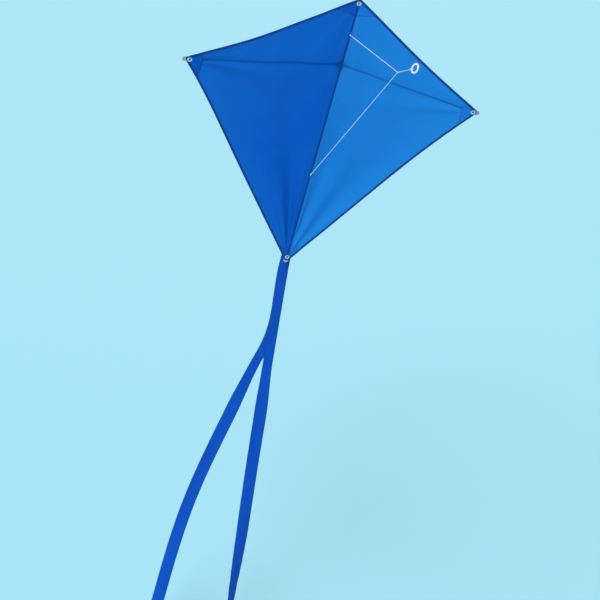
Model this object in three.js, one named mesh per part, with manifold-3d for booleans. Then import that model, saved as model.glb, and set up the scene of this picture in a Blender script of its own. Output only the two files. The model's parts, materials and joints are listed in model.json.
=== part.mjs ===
// Diamond kite: a two-panel sail on a spine and two half spars, with a two-leg bridle and ribbon tails.
// Millimetres. The origin is on the sail's keel line where the spars cross the spine. +Z runs up the
// spine to the nose, -Y is the front of the sail, where the bridle is, and the frame lies behind it.

import * as THREE from 'three';
import { mergeVertices } from 'three/addons/utils/BufferGeometryUtils.js';
import Module from 'manifold-3d';

const wasm = await Module();
wasm.setup();

// Clearances
const GAP = 0.3; // between neighbours that touch or fit in the real kite

// Sail outline, measured to the centres of the corner eyelets
const NOSE_HEIGHT = 157; // nose eyelet above the crossing
const TAIL_DROP = 523; // tail eyelet below the crossing
const TIP_REACH = 347; // wing-tip eyelet from the keel, along the wing
const TIP_DROP = 62.5; // wing-tip eyelet below the crossing
const DIHEDRAL = THREE.MathUtils.degToRad(2.9); // each wing leans back by this much
const EDGE_MARGIN = 9; // cloth outside the line from eyelet to eyelet
const CORNER_REACH = 10; // blunt cut of the cloth beyond each eyelet

// Cloth
const SAIL_THICKNESS = 0.5;
const TRIM_THICKNESS = 0.5; // hem, seam tape and patches, one layer
const HEM_WIDTH = 5;
const HEM_SETBACK = 2.5; // from a corner patch to the end of a hem
const TAPE_WIDTH = 5;
const PATCH_REACH = 26; // corner patch, inward from the eyelet

// Eyelets
const EYELET_DIAMETER = 11.5;
const EYELET_HOLE = 4.4;
const BARREL_WALL = 0.4;
const FLANGE_THICKNESS = 0.9;
const WASHER_THICKNESS = 0.6;

// Rods and their fittings
const ROD_DIAMETER = 4;
const SOCKET_WALL = 1.2;
const SOCKET_LENGTH = 26;
const CAP_FLOOR = 2; // end wall of a cap's socket
const CAP_START = 8; // socket's outer end, inward from the eyelet
const TONGUE_WIDTH = 12;
const TONGUE_THICKNESS = 2;
const TONGUE_ROOT = 14; // tongue's inner end, inward from the eyelet
const TONGUE_TIP = 17.5; // rounded tip, outward from the eyelet
const STUD_DIAMETER = 3.4;
const ROD_END_PLAY = 1;
const ARM_REACH = 20; // connector's arm mouth, sideways from the keel
const ARM_LENGTH = 18;
const ARM_WALL = 1.7;
const ARM_DEPTH = 12; // of the socket in an arm
const SLEEVE_LENGTH = 26;
const CROSS_WALL = 1.2; // between the spine's bore and the spars' bores

// Bridle and tow ring
const CORD_DIAMETER = 1.4;
const UPPER_TIE_HEIGHT = 78;
const LOWER_TIE_HEIGHT = -291;
const TIE_HOLE = 2.8;
const TIE_PATCH_DIAMETER = 14;
const TIE_KNOT_DIAMETER = 2.3;
const BRIDLE_AXIS_Y = -3.25;
const TOW_POINT = new THREE.Vector3(93.2, -149.9, 70);
const TOW_KNOT_DIAMETER = 4.8;
const LEAD_DIRECTION = new THREE.Vector3(0.431, -0.693, 0.579).normalize();
const RING_FACING = new THREE.Vector3(-0.9, -0.3, 0.31);
const RING_DIAMETER = 25;
const RING_BAND = 4.4;
const RING_THICKNESS = 3.2;
const RING_FROM_TOW_POINT = 46.6; // nearest point of the band's centre line
const LEAD_KNOT_DIAMETER = 3.2;
const UPPER_LEG_POINTS = [[0, -3.25, 78], [91.75, -147.62, 70.12]];
const LOWER_LEG_POINTS = [[0, -3.25, -291], [92.57, -148.91, 67.57]];
const LEAD_POINTS = [[94.36, -151.77, 71.56], [110.4, -177.5, 93.1]];

// Tails
const STRAP_TOP = 25; // above the tail eyelet
const STRAP_HEIGHT = 14;
const STRAP_FOOT = 9.5;
const STRAP_THICKNESS = 0.6;
const HEAD_WIDTH = 25;
const HEAD_DROP = 22; // lower edge of the sewn heads, below the tail eyelet
const HEAD_THICKNESS = 2;
const RIBBON_WIDTH = 33;
const RIBBON_THICKNESS = 0.5;
const RIBBON_TOP_WIDTH = 25;
const RIBBON_GATHER = 150; // length over which a gathered ribbon opens out below the fold
const RIBBON_SPACING = 1;
const HINGE_ROOM = 1.3;
const UPPER_RIBBON_LENGTH = 300;
const LOWER_RIBBON_LENGTH = 900;
const UPPER_LEAN = { left: -0.0067, right: 0.1 }; // sideways per length
const UPPER_BOW = { left: 13, right: 0 }; // sideways, at most
const LOWER_LEAN = { left: -0.0922, right: 0.109 };
const LOWER_BOW = { left: -27, right: 2 };

const SIDES = { left: -1, right: 1 };
const UP = new THREE.Vector3(0, 0, 1);
const BACK = new THREE.Vector3(0, 1, 0);

// Layers through the cloth at an eyelet, front to back
const sailBack = SAIL_THICKNESS / 2;
const trimBack = -(sailBack + GAP);
const trimFront = trimBack - TRIM_THICKNESS;
const flangeBack = trimFront - GAP;
const flangeFront = flangeBack - FLANGE_THICKNESS;
const keelRise = (EYELET_DIAMETER / 2) * Math.tan(DIHEDRAL);
const washerFront = sailBack + GAP + keelRise;
const washerBack = washerFront + WASHER_THICKNESS;
const tongueFront = washerBack + GAP;
const barrelRadius = EYELET_HOLE / 2 + BARREL_WALL;
const barrelClear = barrelRadius + GAP;

// Rods behind the cloth
const rodRadius = ROD_DIAMETER / 2;
const boreRadius = rodRadius + GAP;
const socketRadius = boreRadius + SOCKET_WALL;
const armRadius = boreRadius + ARM_WALL;
const rodAxisY = tongueFront + socketRadius;
const sparAxisY = rodAxisY + 2 * boreRadius + CROSS_WALL;
const cordRadius = CORD_DIAMETER / 2;

const kite = new THREE.Group();

/** A physically based material of one colour. */
function material(color, roughness, metalness = 0) {
  return new THREE.MeshStandardMaterial({ color, roughness, metalness });
}

/** Adds a named mesh to a parent and returns it. */
function addMesh(name, geometry, finish, parent = kite) {
  const mesh = new THREE.Mesh(geometry, finish);
  mesh.name = name;
  parent.add(mesh);
  return mesh;
}

/** Turns a closed geometry into a solid for cutting and joining. */
function solidOf(geometry) {
  const bare = geometry.clone();
  bare.deleteAttribute('normal');
  bare.deleteAttribute('uv');
  const merged = mergeVertices(bare, 1e-4);
  const vertProperties = Float32Array.from(merged.attributes.position.array);
  const triVerts = Uint32Array.from(merged.index.array);
  return new wasm.Manifold(new wasm.Mesh({ numProp: 3, vertProperties, triVerts }));
}

/** Turns a solid back into a geometry. */
function geometryOf(solid) {
  const mesh = solid.getMesh();
  const geometry = new THREE.BufferGeometry();
  geometry.setAttribute('position', new THREE.BufferAttribute(mesh.vertProperties, 3));
  geometry.setIndex(new THREE.BufferAttribute(mesh.triVerts, 1));
  geometry.computeVertexNormals();
  return geometry;
}

/** Joins some geometries and cuts others away. */
function combine(joined, cut = []) {
  let solid = solidOf(joined[0]);
  for (const geometry of joined.slice(1)) {
    solid = solid.add(solidOf(geometry));
  }
  for (const geometry of cut) {
    solid = solid.subtract(solidOf(geometry));
  }
  return geometryOf(solid);
}

/** A flat plate in the XZ plane whose back face is at Y = back. */
function plate(shape, back, thickness) {
  const geometry = new THREE.ExtrudeGeometry(shape, {
    depth: thickness,
    bevelEnabled: false,
    curveSegments: 10,
  });
  geometry.rotateX(Math.PI / 2);
  geometry.translate(0, back, 0);
  return geometry;
}

/** A round peg along Y. */
function pegY(radius, front, back, x, z, segments = 24) {
  const geometry = new THREE.CylinderGeometry(radius, radius, back - front, segments);
  geometry.translate(x, (front + back) / 2, z);
  return geometry;
}

/** A round bar along Z at the rods' distance behind the cloth. */
function barZ(radius, low, high, y = rodAxisY, segments = 20) {
  const geometry = new THREE.CylinderGeometry(radius, radius, high - low, segments);
  geometry.rotateX(Math.PI / 2);
  geometry.translate(0, y, (low + high) / 2);
  return geometry;
}

/** A line in the wing plane, from one point towards another, moved to its left by some distance. */
function lineBetween(from, to, offset = 0) {
  const dir = to.clone().sub(from).normalize();
  const left = new THREE.Vector2(-dir.y, dir.x);
  return { point: from.clone().addScaledVector(left, offset), dir };
}

/** Where two lines of the wing plane cross. */
function meet(a, b) {
  const across = b.point.clone().sub(a.point);
  const along = (across.x * b.dir.y - across.y * b.dir.x) / (a.dir.x * b.dir.y - a.dir.y * b.dir.x);
  return a.point.clone().addScaledVector(a.dir, along);
}

/** Points of the right wing as the same points of either wing. */
function onSide(points, side) {
  return points.map((point) => new THREE.Vector2(side * point.x, point.y));
}

// The right wing's outline, in the wing plane: x away from the keel, y up the spine
const noseEyelet = new THREE.Vector2(0, NOSE_HEIGHT);
const tipEyelet = new THREE.Vector2(TIP_REACH, -TIP_DROP);
const tailEyelet = new THREE.Vector2(0, -TAIL_DROP);
const level = new THREE.Vector2(1, 0);
const upright = new THREE.Vector2(0, 1);
const edges = {
  keel: { point: new THREE.Vector2(GAP / 2, 0), dir: upright },
  keelLap: { point: new THREE.Vector2(-GAP, 0), dir: upright },
  upper: lineBetween(noseEyelet, tipEyelet, EDGE_MARGIN),
  lower: lineBetween(tipEyelet, tailEyelet, EDGE_MARGIN),
  noseCut: { point: new THREE.Vector2(0, NOSE_HEIGHT + CORNER_REACH), dir: level },
  tipCut: { point: new THREE.Vector2(TIP_REACH + CORNER_REACH, 0), dir: upright },
  tailCut: { point: new THREE.Vector2(0, -TAIL_DROP - CORNER_REACH), dir: level },
  nosePatch: { point: new THREE.Vector2(0, NOSE_HEIGHT - PATCH_REACH), dir: level },
  tipPatch: { point: new THREE.Vector2(TIP_REACH - PATCH_REACH, 0), dir: upright },
  tailPatch: { point: new THREE.Vector2(0, -TAIL_DROP + PATCH_REACH), dir: level },
};

/** The closed outline that runs through the crossings of each edge with the next. */
function outline(names) {
  return names.map((name, i) => meet(edges[name], edges[names[(i + 1) % names.length]]));
}

/** The turned group that holds what lies in one wing's plane. */
function wingGroup(side) {
  const group = new THREE.Group();
  group.rotation.z = side * DIHEDRAL;
  kite.add(group);
  return group;
}

/** A plate folded along the keel, with one half in each wing's plane. */
function foldedPlate(halfOutline) {
  return Object.values(SIDES).map((side) => {
    const half = plate(new THREE.Shape(onSide(halfOutline, side)), trimBack, TRIM_THICKNESS);
    half.rotateZ(side * DIHEDRAL);
    return half;
  });
}

/** A folded binding over the cloth's edge, from one patch to the next. */
function hem(edge, fromPatch, toPatch, side) {
  const start = meet(edge, fromPatch).addScaledVector(edge.dir, HEM_SETBACK);
  const end = meet(edge, toPatch).addScaledVector(edge.dir, -HEM_SETBACK);
  const ends = onSide([start, end], side);
  if (side < 0) ends.reverse();
  const [from, to] = ends;
  const inner = sailBack + GAP;
  const outer = inner + TRIM_THICKNESS;
  const section = new THREE.Shape([
    new THREE.Vector2(-GAP - TRIM_THICKNESS, -outer),
    new THREE.Vector2(HEM_WIDTH, -outer),
    new THREE.Vector2(HEM_WIDTH, -inner),
    new THREE.Vector2(-GAP, -inner),
    new THREE.Vector2(-GAP, inner),
    new THREE.Vector2(HEM_WIDTH, inner),
    new THREE.Vector2(HEM_WIDTH, outer),
    new THREE.Vector2(-GAP - TRIM_THICKNESS, outer),
  ]);
  const depth = from.distanceTo(to);
  const geometry = new THREE.ExtrudeGeometry(section, { depth, bevelEnabled: false });
  const along = new THREE.Vector3(to.x - from.x, 0, to.y - from.y).normalize();
  const inward = new THREE.Vector3().crossVectors(BACK, along);
  const frame = new THREE.Matrix4().makeBasis(inward, BACK, along);
  frame.setPosition(from.x, 0, from.y);
  return geometry.applyMatrix4(frame);
}

/** The eyelet: a flange in front of the cloth and a barrel through it, about Y. */
function eyeletGeometry() {
  const hole = EYELET_HOLE / 2;
  const rim = EYELET_DIAMETER / 2;
  const round = FLANGE_THICKNESS / 3;
  const profile = [
    [hole, flangeFront + round],
    [hole + round, flangeFront],
    [rim - 2 * round, flangeFront],
    [rim, flangeBack - round],
    [rim, flangeBack],
    [barrelRadius, flangeBack],
    [barrelRadius, washerBack],
    [hole, washerBack],
    [hole, flangeFront + round],
  ];
  return new THREE.LatheGeometry(profile.map(([r, y]) => new THREE.Vector2(r, y)), 24);
}

/** The washer that the barrel is set over, behind the cloth. */
function washerGeometry() {
  const rim = EYELET_DIAMETER / 2;
  const profile = [
    [barrelClear, washerFront],
    [rim, washerFront],
    [rim, washerBack],
    [barrelClear, washerBack],
    [barrelClear, washerFront],
  ];
  return new THREE.LatheGeometry(profile.map(([r, y]) => new THREE.Vector2(r, y)), 24);
}

/** A moulded end cap: a rod socket, and a tongue with a stud that sits in the eyelet. +Z is outward. */
function capGeometry() {
  const half = TONGUE_WIDTH / 2;
  const shape = new THREE.Shape();
  shape.moveTo(-half, -TONGUE_ROOT);
  shape.lineTo(half, -TONGUE_ROOT);
  shape.lineTo(half, TONGUE_TIP - half);
  shape.absarc(0, TONGUE_TIP - half, half, 0, Math.PI);
  const tongue = plate(shape, tongueFront + TONGUE_THICKNESS, TONGUE_THICKNESS);
  const mouth = -(CAP_START + SOCKET_LENGTH);
  const socket = barZ(socketRadius, mouth, -CAP_START, rodAxisY, 24);
  const studTip = flangeFront + FLANGE_THICKNESS / 2;
  const stud = pegY(STUD_DIAMETER / 2, studTip, tongueFront + TONGUE_THICKNESS / 2, 0, 0, 16);
  const bore = barZ(boreRadius, mouth - 1, -(CAP_START + CAP_FLOOR));
  return combine([tongue, socket, stud], [bore]);
}

/** The frame of a rod's outer end: X across, Y back, Z out along the rod, origin at the eyelet. */
function rodFrame(anchor, outward, back) {
  const normal = back.clone().addScaledVector(outward, -back.dot(outward)).normalize();
  const across = new THREE.Vector3().crossVectors(normal, outward);
  const frame = new THREE.Matrix4().makeBasis(across, normal, outward);
  frame.setPosition(anchor.clone().addScaledVector(normal, -rodAxisY));
  return frame;
}

/** The spar's outer end on one wing, and its distance from the connector's arm mouth. */
function sparEnd(side) {
  const back = BACK.clone().applyAxisAngle(UP, side * DIHEDRAL);
  const eyelet = new THREE.Vector3(side * TIP_REACH, 0, -TIP_DROP).applyAxisAngle(UP, side * DIHEDRAL);
  const anchor = eyelet.addScaledVector(back, rodAxisY);
  const mouth = new THREE.Vector3(side * ARM_REACH, sparAxisY, 0);
  const outward = anchor.clone().sub(mouth);
  const span = outward.length();
  return { frame: rodFrame(anchor, outward.normalize(), back), span };
}

/** Places a geometry by a frame and returns it. */
function placed(geometry, frame) {
  return geometry.clone().applyMatrix4(frame);
}

/** A cord along a list of points. */
function cordGeometry(points, steps) {
  const path = new THREE.CatmullRomCurve3(points.map((point) => new THREE.Vector3(...point)));
  const section = new THREE.Shape();
  section.absarc(0, 0, cordRadius, 0, 2 * Math.PI);
  return new THREE.ExtrudeGeometry(section, { steps, extrudePath: path, curveSegments: 8 });
}

/** The loop that ties a bridle leg to the spine, with its neck through the cloth. */
function tieGeometry(height) {
  const loopRadius = rodRadius + GAP + cordRadius;
  const knotRadius = TIE_KNOT_DIAMETER / 2;
  const loop = new THREE.TorusGeometry(loopRadius, cordRadius, 8, 20);
  loop.translate(0, rodAxisY, height);
  const knot = new THREE.SphereGeometry(knotRadius, 12, 8);
  knot.translate(0, rodAxisY - loopRadius - knotRadius / 2, height);
  const neckTip = BRIDLE_AXIS_Y + cordRadius + GAP;
  const neck = pegY(cordRadius, neckTip, rodAxisY - loopRadius, 0, height, 8);
  return combine([loop, knot, neck]);
}

/** One flat length of ribbon, from z = top downwards: it leans and bows sideways, and opens out to its width. */
function ribbonGeometry({ length, x, y, top, lean, bow, width: fullWidth }) {
  const steps = 16;
  const edge = (side) => Array.from({ length: steps + 1 }, (_, i) => {
    const down = (length * i) / steps;
    const open = Math.min(1, down / RIBBON_GATHER);
    const width = THREE.MathUtils.lerp(RIBBON_TOP_WIDTH, fullWidth, open);
    const sway = lean * down + bow * Math.sin((Math.PI * down) / length);
    return new THREE.Vector2(x + sway + (side * width) / 2, top - down);
  });
  const ribbon = new THREE.Shape([...edge(1), ...edge(-1).reverse()]);
  return plate(ribbon, y + RIBBON_THICKNESS / 2, RIBBON_THICKNESS);
}

const finishes = {
  leftCloth: () => material('#0a5fb4', 0.6),
  rightCloth: () => material('#2180cf', 0.6),
  hemCloth: () => material('#06387c', 0.7),
  patchCloth: () => material('#0c4f9c', 0.65),
  metal: () => material('#d5d9de', 0.3, 1),
  clear: () => material('#e6edf2', 0.25),
  rod: () => material('#23252a', 0.4),
  black: () => material('#1b1d20', 0.55),
  cord: () => material('#e9ebe6', 0.8),
  ring: () => material('#f1f3f2', 0.35),
  ribbon: () => material('#1450be', 0.6),
};

const bridleHoles = [UPPER_TIE_HEIGHT, LOWER_TIE_HEIGHT].map((height) =>
  pegY(TIE_HOLE / 2, flangeFront - 1, washerBack, 0, height, 16));
const keelHoles = [NOSE_HEIGHT, -TAIL_DROP].map((height) =>
  pegY(barrelClear, flangeFront, washerBack, 0, height));

// Sail, hems, wing-tip patches, eyelets and washers, wing by wing
for (const [name, side] of Object.entries(SIDES)) {
  const wing = wingGroup(side);
  const clothOutline = outline(['keel', 'noseCut', 'upper', 'tipCut', 'lower', 'tailCut']);
  const cloth = plate(new THREE.Shape(onSide(clothOutline, side)), sailBack, SAIL_THICKNESS);
  const tipHole = pegY(barrelClear, flangeFront, washerBack, side * TIP_REACH, -TIP_DROP);
  const panel = combine([cloth], [tipHole, ...keelHoles, ...bridleHoles]);
  addMesh(`sail_${name}`, panel, side < 0 ? finishes.leftCloth() : finishes.rightCloth(), wing);

  const upperHem = hem(edges.upper, edges.nosePatch, edges.tipPatch, side);
  addMesh(`hem_upper_${name}`, upperHem, finishes.hemCloth(), wing);
  const lowerHem = hem(edges.lower, edges.tipPatch, edges.tailPatch, side);
  addMesh(`hem_lower_${name}`, lowerHem, finishes.hemCloth(), wing);

  const patchOutline = outline(['tipPatch', 'upper', 'tipCut', 'lower']);
  const patch = plate(new THREE.Shape(onSide(patchOutline, side)), trimBack, TRIM_THICKNESS);
  addMesh(`patch_${name}`, combine([patch], [tipHole]), finishes.patchCloth(), wing);

  const eyelet = addMesh(`eyelet_${name}`, eyeletGeometry(), finishes.metal(), wing);
  eyelet.position.set(side * TIP_REACH, 0, -TIP_DROP);
  const washer = addMesh(`washer_${name}`, washerGeometry(), finishes.metal(), wing);
  washer.position.set(side * TIP_REACH, 0, -TIP_DROP);
}

// Nose and tail patches, folded along the keel, with their eyelets and washers
const keelPatches = {
  nose: outline(['keelLap', 'noseCut', 'upper', 'nosePatch']),
  tail: outline(['keelLap', 'tailPatch', 'lower', 'tailCut']),
};
const keelEyelets = { nose: NOSE_HEIGHT, tail: -TAIL_DROP };
for (const [name, height] of Object.entries(keelEyelets)) {
  const patch = combine(foldedPlate(keelPatches[name]), keelHoles);
  addMesh(`patch_${name}`, patch, finishes.patchCloth());
  addMesh(`eyelet_${name}`, eyeletGeometry(), finishes.metal()).position.set(0, 0, height);
  addMesh(`washer_${name}`, washerGeometry(), finishes.metal()).position.set(0, 0, height);
}

// Tape over the seam between the two panels
const tapeTop = NOSE_HEIGHT - PATCH_REACH - GAP;
const tapeBottom = -TAIL_DROP + PATCH_REACH + GAP;
const tape = new THREE.Shape([
  new THREE.Vector2(-TAPE_WIDTH / 2, tapeBottom),
  new THREE.Vector2(TAPE_WIDTH / 2, tapeBottom),
  new THREE.Vector2(TAPE_WIDTH / 2, tapeTop),
  new THREE.Vector2(-TAPE_WIDTH / 2, tapeTop),
]);
const tapePlate = combine([plate(tape, trimBack, TRIM_THICKNESS)], bridleHoles);
addMesh('seam_tape', tapePlate, finishes.hemCloth());

// Spine, half spars and their end caps
const rodInset = CAP_START + CAP_FLOOR + ROD_END_PLAY;
addMesh('spine_rod', barZ(rodRadius, -TAIL_DROP + rodInset, NOSE_HEIGHT - rodInset), finishes.rod());
const cap = capGeometry();
const noseAnchor = new THREE.Vector3(0, rodAxisY, NOSE_HEIGHT);
const tailAnchor = new THREE.Vector3(0, rodAxisY, -TAIL_DROP);
addMesh('cap_nose', placed(cap, rodFrame(noseAnchor, UP, BACK)), finishes.clear());
addMesh('cap_tail', placed(cap, rodFrame(tailAnchor, UP.clone().negate(), BACK)), finishes.clear());

const arms = [];
const armBores = [];
for (const [name, side] of Object.entries(SIDES)) {
  const { frame, span } = sparEnd(side);
  const innerEnd = -(span + ARM_DEPTH - ROD_END_PLAY);
  addMesh(`spar_${name}`, placed(barZ(rodRadius, innerEnd, -rodInset), frame), finishes.rod());
  addMesh(`cap_${name}`, placed(cap, frame), finishes.clear());
  arms.push(placed(barZ(armRadius, -(span + ARM_LENGTH), -span), frame));
  armBores.push(placed(barZ(boreRadius, -(span + ARM_DEPTH), 1 - span), frame));
}

// Centre connector: a sleeve on the spine and two arms behind it that hold the half spars
const sleeve = barZ(armRadius, -SLEEVE_LENGTH / 2, SLEEVE_LENGTH / 2);
const blockDepth = sparAxisY - rodAxisY + armRadius * 0.8;
const block = new THREE.BoxGeometry(4 * armRadius, blockDepth, 4.2 * armRadius);
block.translate(0, rodAxisY + blockDepth / 2, armRadius / 2);
const spineBore = barZ(boreRadius, -SLEEVE_LENGTH, SLEEVE_LENGTH);
const connector = combine([sleeve, block, ...arms], [spineBore, ...armBores]);
addMesh('centre_connector', connector, finishes.black());

// Bridle: ties and patches on the spine line, two legs, a knot, a lead line and a tow ring
const tiePatchBack = trimFront - GAP;
for (const [name, height] of Object.entries({ upper: UPPER_TIE_HEIGHT, lower: LOWER_TIE_HEIGHT })) {
  const disc = pegY(TIE_PATCH_DIAMETER / 2, tiePatchBack - TRIM_THICKNESS, tiePatchBack, 0, height);
  addMesh(`tie_patch_${name}`, combine([disc], bridleHoles), finishes.hemCloth());
  addMesh(`bridle_tie_${name}`, tieGeometry(height), finishes.cord());
}
addMesh('bridle_leg_upper', cordGeometry(UPPER_LEG_POINTS, 24), finishes.cord());
addMesh('bridle_leg_lower', cordGeometry(LOWER_LEG_POINTS, 48), finishes.cord());
const towKnot = addMesh('tow_knot', new THREE.SphereGeometry(TOW_KNOT_DIAMETER / 2, 16, 12), finishes.cord());
towKnot.position.copy(TOW_POINT);
addMesh('lead_line', cordGeometry(LEAD_POINTS, 8), finishes.cord());

const bandPoint = TOW_POINT.clone().addScaledVector(LEAD_DIRECTION, RING_FROM_TOW_POINT);
const bandTangent = new THREE.Vector3().crossVectors(RING_FACING, LEAD_DIRECTION).normalize();
const ringNormal = new THREE.Vector3().crossVectors(LEAD_DIRECTION, bandTangent);
const loopFrame = new THREE.Matrix4().makeBasis(ringNormal, LEAD_DIRECTION, bandTangent);
loopFrame.setPosition(bandPoint);
const bandReach = Math.hypot(RING_BAND, RING_THICKNESS) / 2;
const leadLoopRadius = bandReach + GAP + cordRadius;
const leadLoop = new THREE.TorusGeometry(leadLoopRadius, cordRadius, 8, 20);
const leadKnot = new THREE.SphereGeometry(LEAD_KNOT_DIAMETER / 2, 12, 8);
leadKnot.translate(0, -leadLoopRadius - cordRadius, 0);
addMesh('lead_loop', combine([leadLoop, leadKnot]).applyMatrix4(loopFrame), finishes.cord());

const bandRadius = (RING_DIAMETER - RING_BAND) / 2;
const halfBand = RING_BAND / 2;
const halfThick = RING_THICKNESS / 2;
const chamfer = RING_THICKNESS / 4;
const ringProfile = [
  [bandRadius - halfBand + chamfer, -halfThick],
  [bandRadius + halfBand - chamfer, -halfThick],
  [bandRadius + halfBand, -halfThick + chamfer],
  [bandRadius + halfBand, halfThick - chamfer],
  [bandRadius + halfBand - chamfer, halfThick],
  [bandRadius - halfBand + chamfer, halfThick],
  [bandRadius - halfBand, halfThick - chamfer],
  [bandRadius - halfBand, -halfThick + chamfer],
  [bandRadius - halfBand + chamfer, -halfThick],
];
const ring = new THREE.LatheGeometry(ringProfile.map(([r, y]) => new THREE.Vector2(r, y)), 32);
const ringFrame = new THREE.Matrix4().makeBasis(LEAD_DIRECTION, ringNormal, bandTangent.clone().negate());
ringFrame.setPosition(bandPoint.clone().addScaledVector(LEAD_DIRECTION, bandRadius));
addMesh('tow_ring', ring.applyMatrix4(ringFrame), finishes.ring());

// Strap behind the tail corner, over the cap's socket, and the ribbon heads sewn to it
const strapX = Math.max(TONGUE_WIDTH / 2, socketRadius) + 1;
const footX = strapX + STRAP_FOOT;
const footFront = sailBack + GAP + TRIM_THICKNESS + GAP + footX * Math.tan(DIHEDRAL);
const archBack = rodAxisY + socketRadius + GAP;
const shoulderX = socketRadius + GAP;
const strapOuter = [
  [footX, footFront],
  [footX, footFront + STRAP_THICKNESS],
  [strapX + STRAP_THICKNESS, footFront + STRAP_THICKNESS],
  [strapX + STRAP_THICKNESS, rodAxisY],
  [shoulderX + STRAP_THICKNESS, archBack + STRAP_THICKNESS],
];
const strapInner = [
  [shoulderX, archBack],
  [strapX, rodAxisY],
  [strapX, footFront],
];
const rightHalf = [...strapInner, ...strapOuter];
const leftHalf = rightHalf.map(([x, y]) => [-x, y]).reverse();
const strapShape = new THREE.Shape([...rightHalf, ...leftHalf].map(([x, y]) => new THREE.Vector2(x, y)));
const strap = new THREE.ExtrudeGeometry(strapShape, { depth: STRAP_HEIGHT, bevelEnabled: false });
strap.translate(0, 0, -TAIL_DROP + STRAP_TOP - STRAP_HEIGHT);
addMesh('tail_strap', strap, finishes.patchCloth());

const headFront = archBack + STRAP_THICKNESS + GAP;
const headTop = -TAIL_DROP + STRAP_TOP;
const headBottom = -TAIL_DROP - HEAD_DROP;
const head = new THREE.BoxGeometry(HEAD_WIDTH, HEAD_THICKNESS, headTop - headBottom);
head.translate(0, headFront + HEAD_THICKNESS / 2, (headTop + headBottom) / 2);
addMesh('tail_head', head, finishes.ribbon());

// Ribbons, each in an upper and a lower length; the left one hangs behind the right one
const ribbonTop = headBottom - HINGE_ROOM;
const ribbonY = headFront + HEAD_THICKNESS / 2;
for (const [name, side] of Object.entries(SIDES)) {
  const y = ribbonY - (side * RIBBON_SPACING) / 2;
  const upper = ribbonGeometry({
    length: UPPER_RIBBON_LENGTH,
    x: 0,
    y,
    top: ribbonTop,
    lean: UPPER_LEAN[name],
    bow: UPPER_BOW[name],
    width: RIBBON_TOP_WIDTH,
  });
  addMesh(`ribbon_${name}_upper`, upper, finishes.ribbon());
  const lower = ribbonGeometry({
    length: LOWER_RIBBON_LENGTH,
    x: UPPER_LEAN[name] * (UPPER_RIBBON_LENGTH + HINGE_ROOM),
    y,
    top: ribbonTop - UPPER_RIBBON_LENGTH - HINGE_ROOM,
    lean: LOWER_LEAN[name],
    bow: LOWER_BOW[name],
    width: RIBBON_WIDTH,
  });
  addMesh(`ribbon_${name}_lower`, lower, finishes.ribbon());
}

export default kite;
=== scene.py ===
"""A toy diamond kite: a cloth sail on a fibreglass frame, a bridle with a tow ring, and ribbon tails.

Everything is in metres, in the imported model's frame: the origin is where the spars cross the spine,
+Z runs up to the nose, and -Y is the front of the sail.
"""

import json
import logging
import math
from dataclasses import dataclass, field
from enum import Enum
from typing import Optional, Sequence, Union

import bpy
import numpy as np
from mathutils import Matrix, Vector


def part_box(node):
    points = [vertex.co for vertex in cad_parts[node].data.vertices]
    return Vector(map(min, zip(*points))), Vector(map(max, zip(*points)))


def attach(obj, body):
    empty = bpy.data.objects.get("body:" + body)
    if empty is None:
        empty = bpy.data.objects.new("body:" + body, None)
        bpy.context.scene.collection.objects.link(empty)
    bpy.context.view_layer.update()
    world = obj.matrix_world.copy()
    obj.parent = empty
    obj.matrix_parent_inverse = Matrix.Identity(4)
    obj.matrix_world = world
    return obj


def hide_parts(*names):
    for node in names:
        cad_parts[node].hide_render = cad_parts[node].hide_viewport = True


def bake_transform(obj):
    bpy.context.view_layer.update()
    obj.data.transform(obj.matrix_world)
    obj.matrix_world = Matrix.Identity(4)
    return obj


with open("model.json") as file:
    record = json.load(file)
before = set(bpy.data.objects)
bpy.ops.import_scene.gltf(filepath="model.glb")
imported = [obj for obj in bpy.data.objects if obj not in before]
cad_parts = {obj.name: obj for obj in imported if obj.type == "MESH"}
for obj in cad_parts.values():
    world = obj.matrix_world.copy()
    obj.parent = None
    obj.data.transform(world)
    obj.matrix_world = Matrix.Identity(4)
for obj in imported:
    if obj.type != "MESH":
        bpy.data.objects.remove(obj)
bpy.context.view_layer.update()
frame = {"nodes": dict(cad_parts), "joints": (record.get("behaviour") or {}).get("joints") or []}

MM = 0.001
Colour = tuple[float, float, float]
log = logging.getLogger("diamond_kite")

# The cords' routes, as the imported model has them
UPPER_LEG = ((0.0, -0.00325, 0.078), (0.09175, -0.14762, 0.07012))
LOWER_LEG = ((0.0, -0.00325, -0.291), (0.09257, -0.14891, 0.06757))
LEAD_LINE = ((0.09436, -0.15177, 0.07156), (0.1104, -0.1775, 0.0931))
CORD_DIAMETER = 1.4 * MM


class Side(Enum):
    """The two wings, by the sign of their X."""

    LEFT = -1
    RIGHT = 1

    @property
    def label(self) -> str:
        """The side's name as it stands in the nodes' names."""
        return self.name.lower()


class Corner(Enum):
    """The sail's four corners."""

    NOSE = "nose"
    TAIL = "tail"
    LEFT = "left"
    RIGHT = "right"


# --- Materials ---------------------------------------------------------------------------------


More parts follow.
